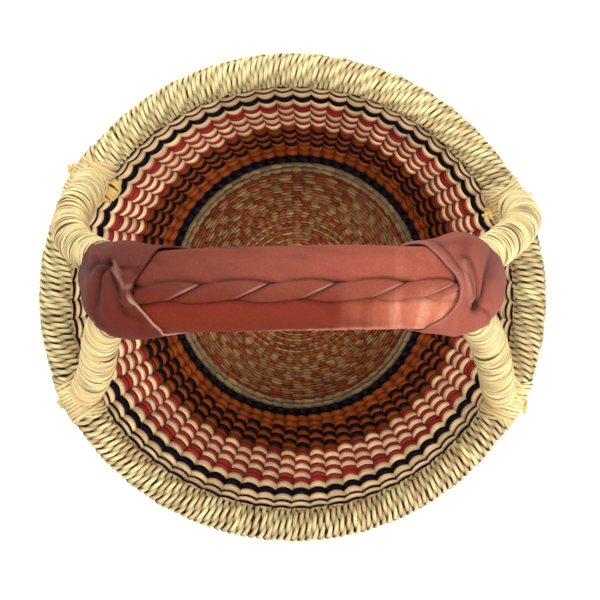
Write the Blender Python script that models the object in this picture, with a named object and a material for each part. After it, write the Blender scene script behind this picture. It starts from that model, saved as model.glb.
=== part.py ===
"""A round market basket of twined grass with a leather-bound double handle.

The basket stands on its floor at z = 0, with its middle on the z axis and its handle along x.
Seventy-two stakes fan out from the middle of the floor and turn up into the wall. Courses of dyed
and natural grass are twined round them, so each course swells at every stake. A grass core is bound
to the top of the wall as a thick round rim. Two arched cores stand on the rim on four bound legs
and run side by side through one leather grip, with a leather cuff at each end.
"""

import math

import bmesh
import bpy
from mathutils import Vector

# Clearance between pieces that touch
GAP = 0.0003

# Weave: counts, then the sizes of one course
STAKES = 72
POINTS_PER_STAKE = 2
WEFT_WALL = 0.0038
STAKE_SWELL = 0.0015

# Body
FLOOR_RADIUS = 0.100
FLOOR_THICKNESS = 0.0060
FLOOR_DOME = 0.0020
BORDER_WIDTH = 0.0095
CENTRE_RADIUS = 0.047
RIM_RADIUS = 0.1568
RIM_HEIGHT = 0.118
OVAL_SHARE = 0.0185

# Rim roll
RIM_CORE_RADIUS = 0.0092
RIM_BINDING = 0.0025
SLOT_ANGLE = math.radians(236)

# Where the legs stand: the rim is divided into stations
RIM_STATIONS = 48
ROLL_SIDES = 7
FOOT_STATIONS = {"front_left": 3.2, "front_right": 3.2, "back_left": 4.2, "back_right": 3.2}
FOOT_OUTSETS = {"front_left": -0.004, "front_right": -0.004, "back_left": 0.0, "back_right": 0.005}
LASHING_STATIONS = 2
LASHING = 0.0016

# Knots of the lashings
KNOT_HALF_WIDTH = 0.0044
OUTER_KNOT_DEPTH = 0.0044
INNER_KNOT_DEPTH = 0.0072
KNOT_SIDES = 8
KNOT_RINGS = 5

# Handle
HANDLE_RISE = 0.132
HANDLE_HALF_SPAN = 0.1405
HANDLE_LEAN = 0.022
HANDLE_SWAY = 0.006
HANDLE_SKEW_SHARE = 0.018
HANDLE_CORE_RADIUS = 0.0098
LEG_BINDING = 0.0021
LEATHER = 0.0020
CUFF_EASE = 0.0007
LACING_WIDTH = 0.0125
LACING_THICKNESS = 0.0028
CORE_SIDES = 8
SHELL_SIDES = 12

# The handle's line from the middle of the grip, u = 0, to a foot, u = 1, at even steps of u:
# share of the half span, share of the rise, share of the spread from the grip to the foot
HANDLE_LINE_SHARES = (
    (0.000, 1.000, 0.00),
    (0.275, 0.985, 0.00),
    (0.515, 0.925, 0.00),
    (0.690, 0.790, 0.05),
    (0.790, 0.585, 0.22),
    (0.880, 0.315, 0.68),
    (1.000, 0.000, 1.00),
)

# The legs bow outwards between the cuff and the rim
LEG_BOWS = {"front_left": 0.0, "front_right": 0.004, "back_left": 0.014, "back_right": 0.016}
BOW_START_SHARE = 0.62

# Places along that line, as values of u: where each leather or straw piece ends
CUFF_MOUTH_SHARE = 0.62
CUFF_SIDE_SHARE = 0.53
CUFF_EDGE_SHARES = {"left": (0.29, 0.355), "right": (0.30, 0.385)}
COVER_END_SHARE = 0.45
LEG_TOP_SHARE = 0.50
LACING_STOP_SHARE = 0.035
LACING_LOBES = 9
LACING_SWELL_SHARE = 0.18

# The wall's middle line from the edge of the floor to the underside of the rim core:
# share of the way out, share of the way up
WALL_LINE_SHARES = (
    (0.000, 0.000),
    (0.077, 0.002),
    (0.154, 0.015),
    (0.230, 0.043),
    (0.297, 0.086),
    (0.357, 0.144),
    (0.489, 0.335),
    (0.656, 0.577),
    (0.841, 0.846),
    (0.921, 0.944),
    (1.000, 1.000),
)

# Bands of the wall from the floor up: name, courses, levels, colour
WALL_BANDS = (
    ("wall_base_band", 1.1, 2, "black_straw"),
    ("wall_orange_weave", 7.9, 3, "orange_straw"),
    ("wall_red_weave", 7.9, 2, "red_straw"),
    ("wall_black_band", 1.2, 2, "black_straw"),
    ("wall_top_weave", 2.6, 2, "wall_straw"),
)

# Colours: red, green, blue, roughness
FINISHES = {
    "rim_straw": (0.80, 0.68, 0.38, 0.60),
    "leg_straw": (0.86, 0.76, 0.46, 0.55),
    "wall_straw": (0.72, 0.50, 0.28, 0.60),
    "floor_straw": (0.48, 0.40, 0.20, 0.65),
    "orange_straw": (0.42, 0.12, 0.02, 0.60),
    "red_straw": (0.34, 0.03, 0.02, 0.60),
    "black_straw": (0.02, 0.014, 0.03, 0.60),
    "knot_straw": (0.72, 0.50, 0.16, 0.60),
    "core_grass": (0.50, 0.38, 0.18, 0.80),
    "leather": (0.33, 0.075, 0.045, 0.50),
}

WALL_SAMPLES = 12
ROLL_DROP = 0.060
ROLL_REACH = 0.040


def finish(name):
    """The material of that name, made once."""
    found = bpy.data.materials.get(name)
    if found:
        return found
    red, green, blue, roughness = FINISHES[name]
    material = bpy.data.materials.new(name)
    material.use_nodes = True
    shader = material.node_tree.nodes["Principled BSDF"]
    shader.inputs["Base Color"].default_value = (red, green, blue, 1.0)
    shader.inputs["Roughness"].default_value = roughness
    shader.inputs["Metallic"].default_value = 0.0
    material.diffuse_color = (red, green, blue, 1.0)
    return material


def add_object(name, bm, finish_name):
    """A named object from a bmesh, its faces turned outwards and its round faces shaded smooth."""
    bm.normal_update()
    bmesh.ops.recalc_face_normals(bm, faces=bm.faces)
    mesh = bpy.data.meshes.new(name)
    bm.to_mesh(mesh)
    bm.free()
    mesh.materials.append(finish(finish_name))
    mesh.shade_smooth()
    mesh.set_sharp_from_angle(angle=math.radians(50))
    obj = bpy.data.objects.new(name, mesh)
    bpy.context.scene.collection.objects.link(obj)
    return obj


def loft(rings, closed_rings=True, closed_path=False, caps=False):
    """A bmesh skin through rings of points. Rings close on themselves, and so may the whole path."""
    bm = bmesh.new()
    rows = [[bm.verts.new(p) for p in ring] for ring in rings]
    pairs = list(zip(rows, rows[1:]))
    if closed_path:
        pairs.append((rows[-1], rows[0]))
    for low, high in pairs:
        count = len(low)
        for i in range(count if closed_rings else count - 1):
            j = (i + 1) % count
            bm.faces.new((low[i], low[j], high[j], high[i]))
    if caps:
        bm.faces.new(rows[0])
        bm.faces.new(rows[-1])
    return bm


def catmull_rom(before, start, end, after, share):
    """The value at a share of the way from start to end on a smooth curve through four values."""
    slope_in = (end - before) / 2
    slope_out = (after - start) / 2
    s2, s3 = share**2, share**3
    return (
        start * (2 * s3 - 3 * s2 + 1)
        + slope_in * (s3 - 2 * s2 + share)
        + end * (3 * s2 - 2 * s3)
        + slope_out * (s3 - s2)
    )


# Rim


def oval(theta, height_share):
    """How far the body's round plan is drawn out along the handle, more at the rim than at the floor."""
    return 1 + OVAL_SHARE * height_share * math.cos(2 * theta)


def rim_centre(theta):
    """The middle of the rim roll at an angle round the basket, and the outward direction there."""
    outward = Vector((math.cos(theta), math.sin(theta), 0))
    return outward * RIM_RADIUS * oval(theta, 1) + Vector((0, 0, RIM_HEIGHT)), outward


def roll_point(theta, radius, psi):
    """A point round the rim roll: psi is 0 on its outer side and a right angle on top."""
    centre, outward = rim_centre(theta)
    return centre + outward * radius * math.cos(psi) + Vector((0, 0, radius * math.sin(psi)))


def roll_angles():
    """The corners of the roll's section, which leave out the slot where the wall comes in."""
    half_wall = WEFT_WALL / 2 + GAP + STAKE_SWELL / 3
    half_slot = math.asin(half_wall / (RIM_CORE_RADIUS + GAP))
    step = (math.tau - 2 * half_slot) / (ROLL_SIDES - 1)
    return [SLOT_ANGLE + half_slot + i * step for i in range(ROLL_SIDES)]


def slot_half_angle():
    return roll_angles()[0] - SLOT_ANGLE


def station_angle(station):
    return math.tau * station / RIM_STATIONS


def build_rim():
    """The grass core of the rim, and the straw bound round it as a sleeve open over the wall."""
    stations = [station_angle(i) for i in range(RIM_STATIONS)]
    core = loft(
        [[roll_point(t, RIM_CORE_RADIUS, psi) for psi in roll_angles()] for t in stations],
        closed_path=True,
    )
    add_object("rim_core", core, "core_grass")
    inner = RIM_CORE_RADIUS + GAP
    outer = inner + RIM_BINDING
    sections = []
    for t in stations:
        sections.append(
            [roll_point(t, outer, psi) for psi in roll_angles()]
            + [roll_point(t, inner, psi) for psi in reversed(roll_angles())]
        )
    add_object("rim_binding", loft(sections, closed_path=True), "rim_straw")


# Floor and wall


def wall_ends():
    """The two ends of the wall's middle line, as radius and height: the floor's edge and the rim core."""
    reach = RIM_CORE_RADIUS * math.cos(slot_half_angle()) + GAP
    top = (
        RIM_RADIUS + reach * math.cos(SLOT_ANGLE),
        RIM_HEIGHT + reach * math.sin(SLOT_ANGLE),
    )
    return (FLOOR_RADIUS, FLOOR_THICKNESS / 2), top


def wall_line():
    """The wall's middle line as many points of radius, height and length so far."""
    (r0, z0), (r1, z1) = wall_ends()
    knots = [(r0 + (r1 - r0) * a, z0 + (z1 - z0) * b) for a, b in WALL_LINE_SHARES]
    first = (2 * knots[0][0] - knots[1][0], knots[0][1])
    last = tuple(2 * knots[-1][i] - knots[-2][i] for i in range(2))
    knots = [first, *knots, last]
    points = []
    for i in range(1, len(knots) - 2):
        for j in range(WALL_SAMPLES):
            four = knots[i - 1 : i + 3]
            points.append([catmull_rom(*(k[axis] for k in four), j / WALL_SAMPLES) for axis in range(2)])
    points.append(list(knots[-2]))
    points[0].append(0.0)
    for a, b in zip(points, points[1:]):
        b.append(a[2] + math.hypot(b[0] - a[0], b[1] - a[1]))
    return points


def wall_place(line, length):
    """Radius, height and outward normal of the wall's middle line at a length along it."""
    i = 0
    while i < len(line) - 2 and line[i + 1][2] < length:
        i += 1
    a, b = line[i], line[i + 1]
    share = (length - a[2]) / (b[2] - a[2])
    before, after = line[max(i - 1, 0)], line[min(i + 2, len(line) - 1)]
    run, rise = after[0] - before[0], after[1] - before[1]
    size = math.hypot(run, rise)
    return (
        a[0] + (b[0] - a[0]) * share,
        a[1] + (b[1] - a[1]) * share,
        rise / size,
        -run / size,
    )


def wall_loop(line, length, side, swell_share):
    """One loop round the wall at a length up it: side is 1 outside and -1 inside."""
    radius, height, normal_out, normal_up = wall_place(line, length)
    total_height = wall_ends()[1][1]
    count = STAKES * POINTS_PER_STAKE
    loop = []
    for i in range(count):
        theta = math.tau * i / count
        on_stake = i % POINTS_PER_STAKE == 0
        depth = side * (WEFT_WALL / 2 + (STAKE_SWELL * swell_share if on_stake else 0))
        spread = oval(theta, height / total_height)
        r = radius * spread + depth * normal_out
        loop.append(Vector((r * math.cos(theta), r * math.sin(theta), height + depth * normal_up)))
    return loop


def build_wall():
    """The wall's bands: each is one closed ring of courses, swelling at every stake inside and outside."""
    line = wall_line()
    course = line[-1][2] / sum(courses for _, courses, _, _ in WALL_BANDS)
    start = 0.0
    for number, (name, courses, levels, finish_name) in enumerate(WALL_BANDS):
        end = start + courses * course
        low = start + GAP / 2
        high = end - GAP / 2 if number < len(WALL_BANDS) - 1 else end
        lengths = [low + (high - low) * i / (levels - 1) for i in range(levels)]
        swells = [1.0] * levels
        if number == 0:
            swells = [i / (levels - 1) for i in range(levels)]
        if number == len(WALL_BANDS) - 1:
            swells[-1] = 0.0
        outer = [wall_loop(line, at, 1, swell) for at, swell in zip(lengths, swells)]
        inner = [wall_loop(line, at, -1, swell) for at, swell in zip(lengths, swells)]
        rings = outer + inner[::-1]
        add_object(name, loft(rings, closed_path=True), finish_name)
        start = end


FLOOR_SIDES = 48


def turned(profile):
    """A solid turned about the z axis from a closed outline of radius and height."""
    bm = bmesh.new()
    corners = [bm.verts.new((r, 0, z)) for r, z in profile]
    edges = [bm.edges.new((a, b)) for a, b in zip(corners, corners[1:] + corners[:1])]
    bmesh.ops.spin(
        bm,
        geom=corners + edges,
        cent=(0, 0, 0),
        axis=(0, 0, 1),
        angle=math.tau,
        steps=FLOOR_SIDES,
        use_merge=True,
    )
    return bm


def floor_ring(inner, outer, inner_dome, outer_dome):
    """The outline of a flat ring of the floor, raised a little towards the middle."""
    return [
        (inner, inner_dome),
        (outer, outer_dome),
        (outer, outer_dome + FLOOR_THICKNESS - GAP),
        (inner, inner_dome + FLOOR_THICKNESS - GAP),
    ]


def build_floor():
    """The floor: the woven start, the ring of checks and the natural border that it stands on."""
    edge = FLOOR_RADIUS
    border = edge - BORDER_WIDTH
    add_object("floor_border", turned(floor_ring(border, edge, 0, 0)), "floor_straw")
    add_object(
        "floor_check_weave",
        turned(floor_ring(CENTRE_RADIUS, border - GAP, FLOOR_DOME, 0)),
        "orange_straw",
    )
    bm = bmesh.new()
    bmesh.ops.create_cone(
        bm,
        cap_ends=True,
        segments=FLOOR_SIDES,
        radius1=CENTRE_RADIUS - GAP,
        radius2=CENTRE_RADIUS - GAP,
        depth=FLOOR_THICKNESS - GAP,
    )
    bmesh.ops.translate(bm, verts=bm.verts, vec=(0, 0, FLOOR_DOME + (FLOOR_THICKNESS - GAP) / 2))
    add_object("floor_centre", bm, "floor_straw")


# Handle


SIDES_Y = {"front": -1, "back": 1}
SIDES_X = {"left": -1, "right": 1}


def leg_name(side_x, side_y):
    return f"{'back' if side_y > 0 else 'front'}_{'right' if side_x > 0 else 'left'}"


def foot_angle(side_x, side_y):
    """Where a leg stands on the rim, as an angle round the basket."""
    theta = station_angle(FOOT_STATIONS[leg_name(side_x, side_y)])
    return side_y * (theta if side_x > 0 else math.pi - theta)


def foot_centre(side_x, side_y):
    centre, outward = rim_centre(foot_angle(side_x, side_y))
    return centre + outward * FOOT_OUTSETS[leg_name(side_x, side_y)]


def line_shares(u):
    """The three shares of HANDLE_LINE_SHARES at any u from -1 to 1, on a smooth curve."""
    table = HANDLE_LINE_SHARES
    at = abs(u) * (len(table) - 1)
    i = min(int(at), len(table) - 2)
    shares = []
    for column in range(3):
        flip = -1 if column == 0 else 1
        first = table[i - 1][column] if i > 0 else flip * table[1][column]
        last = (
            table[i + 2][column]
            if i + 2 < len(table)
            else 2 * table[-1][column] - table[-2][column]
        )
        shares.append(catmull_rom(first, table[i][column], table[i + 1][column], last, at - i))
    return shares


def grip_half_spread():
    """Half the distance between the two cores in the grip, where they lie side by side."""
    return HANDLE_CORE_RADIUS + GAP


def leg_radius():
    return HANDLE_CORE_RADIUS + GAP + LEG_BINDING


def core_point(u, side_y):
    """A point on the line of the front core, for side_y -1, or of the back core, for side_y 1."""
    along, rise, spread = line_shares(u)
    side_x = math.copysign(1, u)
    foot = foot_centre(side_x, side_y)
    half_spread = grip_half_spread() + (abs(foot.y) - grip_half_spread()) * spread
    bow = max(0.0, (abs(u) - BOW_START_SHARE) / (1 - BOW_START_SHARE))
    out = HANDLE_HALF_SPAN * along + (abs(foot.x) - HANDLE_HALF_SPAN) * spread**2
    out += LEG_BOWS[leg_name(side_x, side_y)] * math.sin(math.pi * bow) ** 2
    x = side_x * out + HANDLE_SWAY * rise
    return Vector((
        x,
        side_y * half_spread + HANDLE_LEAN * rise + HANDLE_SKEW_SHARE * x * rise,
        foot.z + HANDLE_RISE * rise,
    ))


def handle_point(u, side_y=0):
    """A point on the handle's line: side_y is 1 for the back core, -1 for the front, 0 between them."""
    if side_y:
        return core_point(u, side_y)
    return (core_point(u, -1) + core_point(u, 1)) / 2


U_STEP = 0.004


def handle_place(u, side_y=0):
    """The point of the handle's line at u, and the line's direction there."""
    ahead = handle_point(min(u + U_STEP, 1), side_y)
    behind = handle_point(max(u - U_STEP, -1), side_y)
    return handle_point(u, side_y), (ahead - behind).normalized()


def square_to(along, sideways):
    """The direction nearest to sideways that is square to along."""
    return (sideways - along * sideways.dot(along)).normalized()


def tube_frames(side_x, side_y):
    """Centre, sideways and outward at even steps from the middle of the grip to a foot.

    Each frame is turned as little as possible from the one before, so that a tube doesn't twist.
    """
    sideways = Vector((0, 1, 0))
    frames = []
    for u in steps(0, 1, HANDLE_STEPS + 1):
        centre, along = handle_place(side_x * u, side_y)
        sideways = square_to(along, sideways)
        frames.append((centre, sideways, sideways.cross(along)))
    return frames


def tube_ring(frame, radius):
    centre, sideways, outward = frame
    corners = [math.tau * (i + 0.5) / CORE_SIDES for i in range(CORE_SIDES)]
    return [centre + (sideways * math.cos(phi) + outward * math.sin(phi)) * radius for phi in corners]


def shell_ring(u, radius, half_gap, along_shares):
    """A ring of corners round both cores, whose two halves are parted sideways by half_gap.

    along_shares, where given, is each corner's own place on the line, so a piece can end in a shaped edge.
    """
    ring = []
    for i in range(SHELL_SIDES):
        phi = math.tau * (i + 0.5) / SHELL_SIDES
        at = along_shares(phi) if along_shares else u
        centre, along = handle_place(at)
        sideways = square_to(along, Vector((0, 1, 0)))
        outward = along.cross(sideways)
        across = math.copysign(half_gap(at), math.cos(phi)) + radius(at) * math.cos(phi)
        ring.append(centre + sideways * across + outward * radius(at) * math.sin(phi))
    return ring


def steps(start, end, count):
    return [start + (end - start) * i / (count - 1) for i in range(count)]


def lashing_radius():
    """The lashing's inner radius: it clears the corners of the rim binding, which has its own stations."""
    sag = RIM_RADIUS * (1 - math.cos(math.pi / RIM_STATIONS))
    return RIM_CORE_RADIUS + GAP + RIM_BINDING + GAP + sag


def foot_cutter():
    """The space of the rim, its lashing, its knots and what lies under them: the legs stop short of it."""
    radius = lashing_radius() + LASHING + GAP
    level = KNOT_HALF_WIDTH + GAP
    top = sorted(psi % math.tau for psi in roll_angles() if level < radius * math.sin(psi))
    reach = math.sqrt(radius**2 - level**2)
    rings = []
    for i in range(RIM_STATIONS):
        theta = station_angle(i)
        centre, outward = rim_centre(theta)
        shoulder = [roll_point(theta, radius, psi) for psi in top]
        middle = centre + Vector((0, 0, level))
        right = middle + outward * ROLL_REACH
        left = middle - outward * ROLL_REACH
        drop = Vector((0, 0, -ROLL_DROP))
        near_right = middle + outward * reach
        near_left = middle - outward * reach
        rings.append([right + drop, right, near_right, *shoulder, near_left, left, left + drop])
    cutter = add_object("foot_cutter", loft(rings, closed_path=True), "core_grass")
    cutter.hide_render = True
    cutter.display_type = "WIRE"
    return cutter


def cut(obj, cutter):
    modifier = obj.modifiers.new("foot", "BOOLEAN")
    modifier.operation = "DIFFERENCE"
    modifier.solver = "EXACT"
    modifier.object = cutter
    return obj


HANDLE_STEPS = 20


def build_cores(cutter):
    """The two arched grass cores, each from a left foot over the top to a right foot."""
    for name, side_y in SIDES_Y.items():
        left = tube_frames(SIDES_X["left"], side_y)
        right = tube_frames(SIDES_X["right"], side_y)
        rings = [tube_ring(frame, HANDLE_CORE_RADIUS) for frame in left[:0:-1] + right]
        cut(add_object(f"handle_core_{name}", loft(rings, caps=True), "core_grass"), cutter)


def build_leg_bindings(cutter):
    """The straw bound round each leg, from the rim up into the cuff, as a sleeve over its core."""
    top = round(LEG_TOP_SHARE * HANDLE_STEPS)
    for name_y, side_y in SIDES_Y.items():
        for name_x, side_x in SIDES_X.items():
            frames = tube_frames(side_x, side_y)[top:]
            outside = [tube_ring(frame, leg_radius()) for frame in frames]
            inside = [tube_ring(frame, HANDLE_CORE_RADIUS + GAP) for frame in frames]
            sleeve = loft(outside + inside[::-1], closed_path=True)
            cut(add_object(f"leg_binding_{name_y}_{name_x}", sleeve, "leg_straw"), cutter)


def half_spread(u):
    """How far each core lies from the middle of the handle at u."""
    return (core_point(u, 1).y - core_point(u, -1).y) / 2


def shell(name, radius, half_gap, places, finish_name):
    """A leather shell of even thickness round both cores, through places of u and along_shares."""
    def ring(grow, place):
        u, along_shares = place
        return shell_ring(u, lambda at: radius(at) + grow, half_gap, along_shares)

    outer = [ring(LEATHER, place) for place in places]
    inner = [ring(0, place) for place in places]
    return add_object(name, loft(outer + inner[::-1], closed_path=True), finish_name)


def flat_side_share():
    """A shell's flat sides lie inside its round by this factor, so it is drawn out to clear what it holds."""
    return 1 / math.cos(math.pi / SHELL_SIDES)


def cover_radius(u=0):
    return (HANDLE_CORE_RADIUS + GAP) * flat_side_share()


def build_cover():
    """The leather wrapped round both cores, from cuff to cuff."""
    count = round(2 * COVER_END_SHARE * HANDLE_STEPS) + 1
    places = [(u, None) for u in steps(-COVER_END_SHARE, COVER_END_SHARE, count)]
    shell("grip_cover", cover_radius, half_spread, places, "leather")


def cuff_radius(u):
    """Wide enough for the bound legs where they part, and for the cover where the cores lie together."""
    return max(leg_radius() * flat_side_share(), cover_radius() + LEATHER) + CUFF_EASE


def cuff_half_gap(u):
    """Half the way between the cuff's two rounds, with room for the legs' slant."""
    _, middle = handle_place(u)
    slant = min(handle_place(u, side_y)[1].dot(middle) for side_y in SIDES_Y.values())
    return half_spread(u) + leg_radius() * (1 / slant - 1)


def build_cuffs():
    """The leather cuff at each end of the grip: its mouth holds both legs, its edge is shaped on top."""
    for name, side_x in SIDES_X.items():
        edge_side, edge_top = CUFF_EDGE_SHARES[name]

        def edge(phi):
            top = max(0.0, math.sin(phi))
            return edge_side + (edge_top - edge_side) * top**3

        def mouth(phi):
            return CUFF_MOUTH_SHARE + (CUFF_SIDE_SHARE - CUFF_MOUTH_SHARE) * math.cos(phi) ** 2

        def along(share):
            return lambda phi: side_x * (mouth(phi) + (edge(phi) - mouth(phi)) * share)

        places = [(None, along(share)) for share in steps(0, 1, 9)]
        shell(f"cuff_{name}", cuff_radius, cuff_half_gap, places, "leather")


def build_lacing():
    """The plaited thong along the top of the grip, swelling at each plait, from cuff to cuff."""
    lift = cover_radius() + LEATHER + GAP + LACING_THICKNESS / 2
    start = LACING_STOP_SHARE - CUFF_EDGE_SHARES["left"][1]
    end = CUFF_EDGE_SHARES["right"][1] - LACING_STOP_SHARE
    count = LACING_LOBES * 2 + 1
    rings = []
    for i, u in enumerate(steps(start, end, count)):
        centre, along = handle_place(u)
        sideways = square_to(along, Vector((0, 1, 0)))
        outward = along.cross(sideways)
        swell = 1 + LACING_SWELL_SHARE * (1 if i % 2 else -1)
        half_width = LACING_WIDTH / 2 * swell
        half_height = LACING_THICKNESS / 2
        ring = []
        for k in range(6):
            phi = math.tau * k / 6
            ring.append(
                centre
                + outward * (lift + half_height * math.sin(phi))
                + sideways * half_width * math.cos(phi)
            )
        rings.append(ring)
    add_object("grip_lacing", loft(rings, caps=True), "leather")


# Lashings and knots


def build_lashings():
    """The straw lashed round the rim under each leg, and the two knots that tie it off."""
    inner = lashing_radius()
    outer = inner + LASHING
    for name_y, side_y in SIDES_Y.items():
        for name_x, side_x in SIDES_X.items():
            foot = foot_angle(side_x, side_y)
            rings = []
            for station in steps(-LASHING_STATIONS / 2, LASHING_STATIONS / 2, LASHING_STATIONS + 1):
                theta = foot + station_angle(station)
                rings.append(
                    [roll_point(theta, outer, psi) for psi in roll_angles()]
                    + [roll_point(theta, inner, psi) for psi in reversed(roll_angles())]
                )
            name = f"{name_y}_{name_x}"
            add_object(f"foot_lashing_{name}", loft(rings, caps=True), "leg_straw")
            corners = roll_angles()
            build_knot(f"outer_knot_{name}", foot, outer, OUTER_KNOT_DEPTH, max(corners, key=math.cos))
            half_flat = (corners[-1] - corners[-2]) / 2
            flat = outer * math.cos(half_flat)
            build_knot(f"inner_knot_{name}", foot, flat, INNER_KNOT_DEPTH, corners[-1] - half_flat)


def build_knot(name, theta, surface, depth, psi):
    """A tight knot of straw, a flattened ball that lies on the lashing's surface."""
    bm = bmesh.new()
    bmesh.ops.create_uvsphere(bm, u_segments=KNOT_SIDES, v_segments=KNOT_RINGS, radius=1)
    _, outward = rim_centre(theta)
    away = outward * math.cos(psi) + Vector((0, 0, math.sin(psi)))
    round_rim = Vector((-outward.y, outward.x, 0))
    upright = away.cross(round_rim)
    middle = roll_point(theta, surface + GAP + depth / 2, psi)
    for vert in bm.verts:
        x, y, z = vert.co
        vert.co = middle + away * x * depth / 2 + (round_rim * y + upright * z) * KNOT_HALF_WIDTH
    add_object(name, bm, "knot_straw")


def main():
    for obj in list(bpy.data.objects):
        bpy.data.objects.remove(obj)
    build_floor()
    build_wall()
    build_rim()
    cutter = foot_cutter()
    build_cores(cutter)
    build_leg_bindings(cutter)
    build_cover()
    build_cuffs()
    build_lacing()
    build_lashings()


main()
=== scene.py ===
"""The looks of a round market basket: twined grass body, bound rim, and a leather-covered handle."""

import math
import random

import bmesh
import bpy
from bpy.props import (
    FloatProperty,
    FloatVectorProperty,
    IntProperty,
    PointerProperty,
)
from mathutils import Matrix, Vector, noise


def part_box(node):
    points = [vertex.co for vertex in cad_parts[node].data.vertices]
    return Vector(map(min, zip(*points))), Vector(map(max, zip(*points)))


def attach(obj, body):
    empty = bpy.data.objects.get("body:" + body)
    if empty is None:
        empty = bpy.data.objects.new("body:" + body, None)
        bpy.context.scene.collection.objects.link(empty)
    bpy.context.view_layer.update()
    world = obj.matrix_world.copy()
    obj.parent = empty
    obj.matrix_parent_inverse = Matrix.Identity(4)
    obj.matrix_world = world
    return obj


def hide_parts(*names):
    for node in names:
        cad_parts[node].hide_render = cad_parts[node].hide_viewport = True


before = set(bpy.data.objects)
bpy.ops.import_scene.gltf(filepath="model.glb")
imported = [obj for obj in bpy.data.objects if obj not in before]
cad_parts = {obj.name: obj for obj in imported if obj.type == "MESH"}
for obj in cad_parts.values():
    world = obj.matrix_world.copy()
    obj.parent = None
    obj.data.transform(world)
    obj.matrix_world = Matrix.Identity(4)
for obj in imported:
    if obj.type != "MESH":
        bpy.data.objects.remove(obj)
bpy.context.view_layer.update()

bl_info = {
    "name": "Bolga Basket",
    "version": (1, 0, 0),
    "blender": (4, 5, 0),
    "location": "3D View > Sidebar > Basket",
    "description": "Dresses a round grass basket with a leather-covered handle",
    "category": "Object",
}

RIM_LOW, RIM_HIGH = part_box("rim_binding")
CORE_LOW, CORE_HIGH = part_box("rim_core")
BORDER_LOW, BORDER_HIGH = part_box("floor_border")
CHECK_LOW, CHECK_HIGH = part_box("floor_check_weave")

LENGTH = {"subtype": "DISTANCE", "unit": "LENGTH", "precision": 4}


def size(name, description, default):
    """A length that the user can change."""
    return FloatProperty(name=name, description=description, default=default, min=0.0, **LENGTH)


def share(name, description, default):
    """A share of some other size, or a plain number."""
    return FloatProperty(name=name, description=description, default=default)


def colour(name, description, default):
    """A colour that the user can change."""
    return FloatVectorProperty(
        name=name, description=description, default=default, size=3, subtype="COLOR", min=0.0, max=1.0
    )


class BodySettings(bpy.types.PropertyGroup):
    """Sizes of the twined floor and wall"""

    stakes: IntProperty(name="Stakes", description="Stakes in the wall", default=72, min=12)
    floor_radius: size("Floor radius", "Edge of the floor", BORDER_HIGH.x)
    floor_thickness: size("Floor thickness", "Through the floor at its border", BORDER_HIGH.z)
    floor_dome: size("Floor dome", "Rise of the floor's middle", CHECK_HIGH.z - BORDER_HIGH.z)
    rim_radius: size("Rim radius", "Mean radius of the rim roll's middle", (
        (RIM_HIGH.x + RIM_HIGH.y) / 2 - (RIM_HIGH.z - RIM_LOW.z) / 2
    ))
    rim_height: size("Rim height", "Height of the rim roll's middle", (RIM_HIGH.z + RIM_LOW.z) / 2)
    oval_share: share("Oval share", "How far the rim is drawn out along the handle", 0.0185)
    core_radius: size("Rim core radius", "Radius of the rim's grass core", 0.0092)
    slot_angle: FloatProperty(
        name="Slot angle", description="Where the wall comes into the rim", default=math.radians(236),
        subtype="ANGLE",
    )
    wall_depth: size("Wall depth", "From the wall's middle to the foot of a stitch", 0.0008)
    bulge: size("Bulge", "How far a stitch swells over its stake", 0.0024)
    floor_depth: size("Floor depth", "From the floor's middle to the foot of a stitch", 0.0010)
    floor_bulge: size("Floor bulge", "How far a floor stitch swells over its stake", 0.0012)
    unevenness: share("Unevenness", "How much one stitch differs from the next", 0.07)
    floor_unevenness: share("Floor unevenness", "How much one floor stitch differs from the next", 0.16)
    shingle: share("Shingle", "How far each stitch leans over the one below", 0.24)


class BindingSettings(bpy.types.PropertyGroup):
    """Sizes of the straw bound round the rim, the legs and the feet"""

    rim_wraps: IntProperty(name="Rim wraps", description="Turns of cord round the rim", default=236, min=20)
    rim_strand: size("Rim strand", "Radius of one strand of the rim's cord", 0.00145)
    rim_ply: size("Rim ply", "From the cord's middle to a strand's middle", 0.00100)
    rim_crowding: share("Rim crowding", "How much closer the cord lies at the front than at the back", 0.12)
    rim_twists: share("Rim twists", "Twists of the cord in one turn round the rim", 2.9)
    leg_wrap: size("Leg wrap", "Width of one turn of straw on a leg", 0.00142)
    leg_straw: size("Leg straw", "Thickness of the straw on a leg", 0.0008)
    leg_cross: size("Leg cross", "How far a straw strays over its neighbours", 0.0008)
    leg_step: size("Leg step", "Length of one overlapping group of turns", 0.0135)
    foot_wraps: IntProperty(name="Foot wraps", description="Turns of each lashing straw", default=11, min=3)
    foot_reach: size("Foot reach", "How far a lashing reaches along the rim from its leg's middle", 0.0130)
    fray: size("Fray", "Length of the longest frayed end at a knot", 0.0062)
    knot_girth: size("Knot girth", "Radius of a tied knot", 0.0031)
    knot_tuck: size("Knot tuck", "How far a knot is pulled in against the rim", 0.0034)


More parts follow.
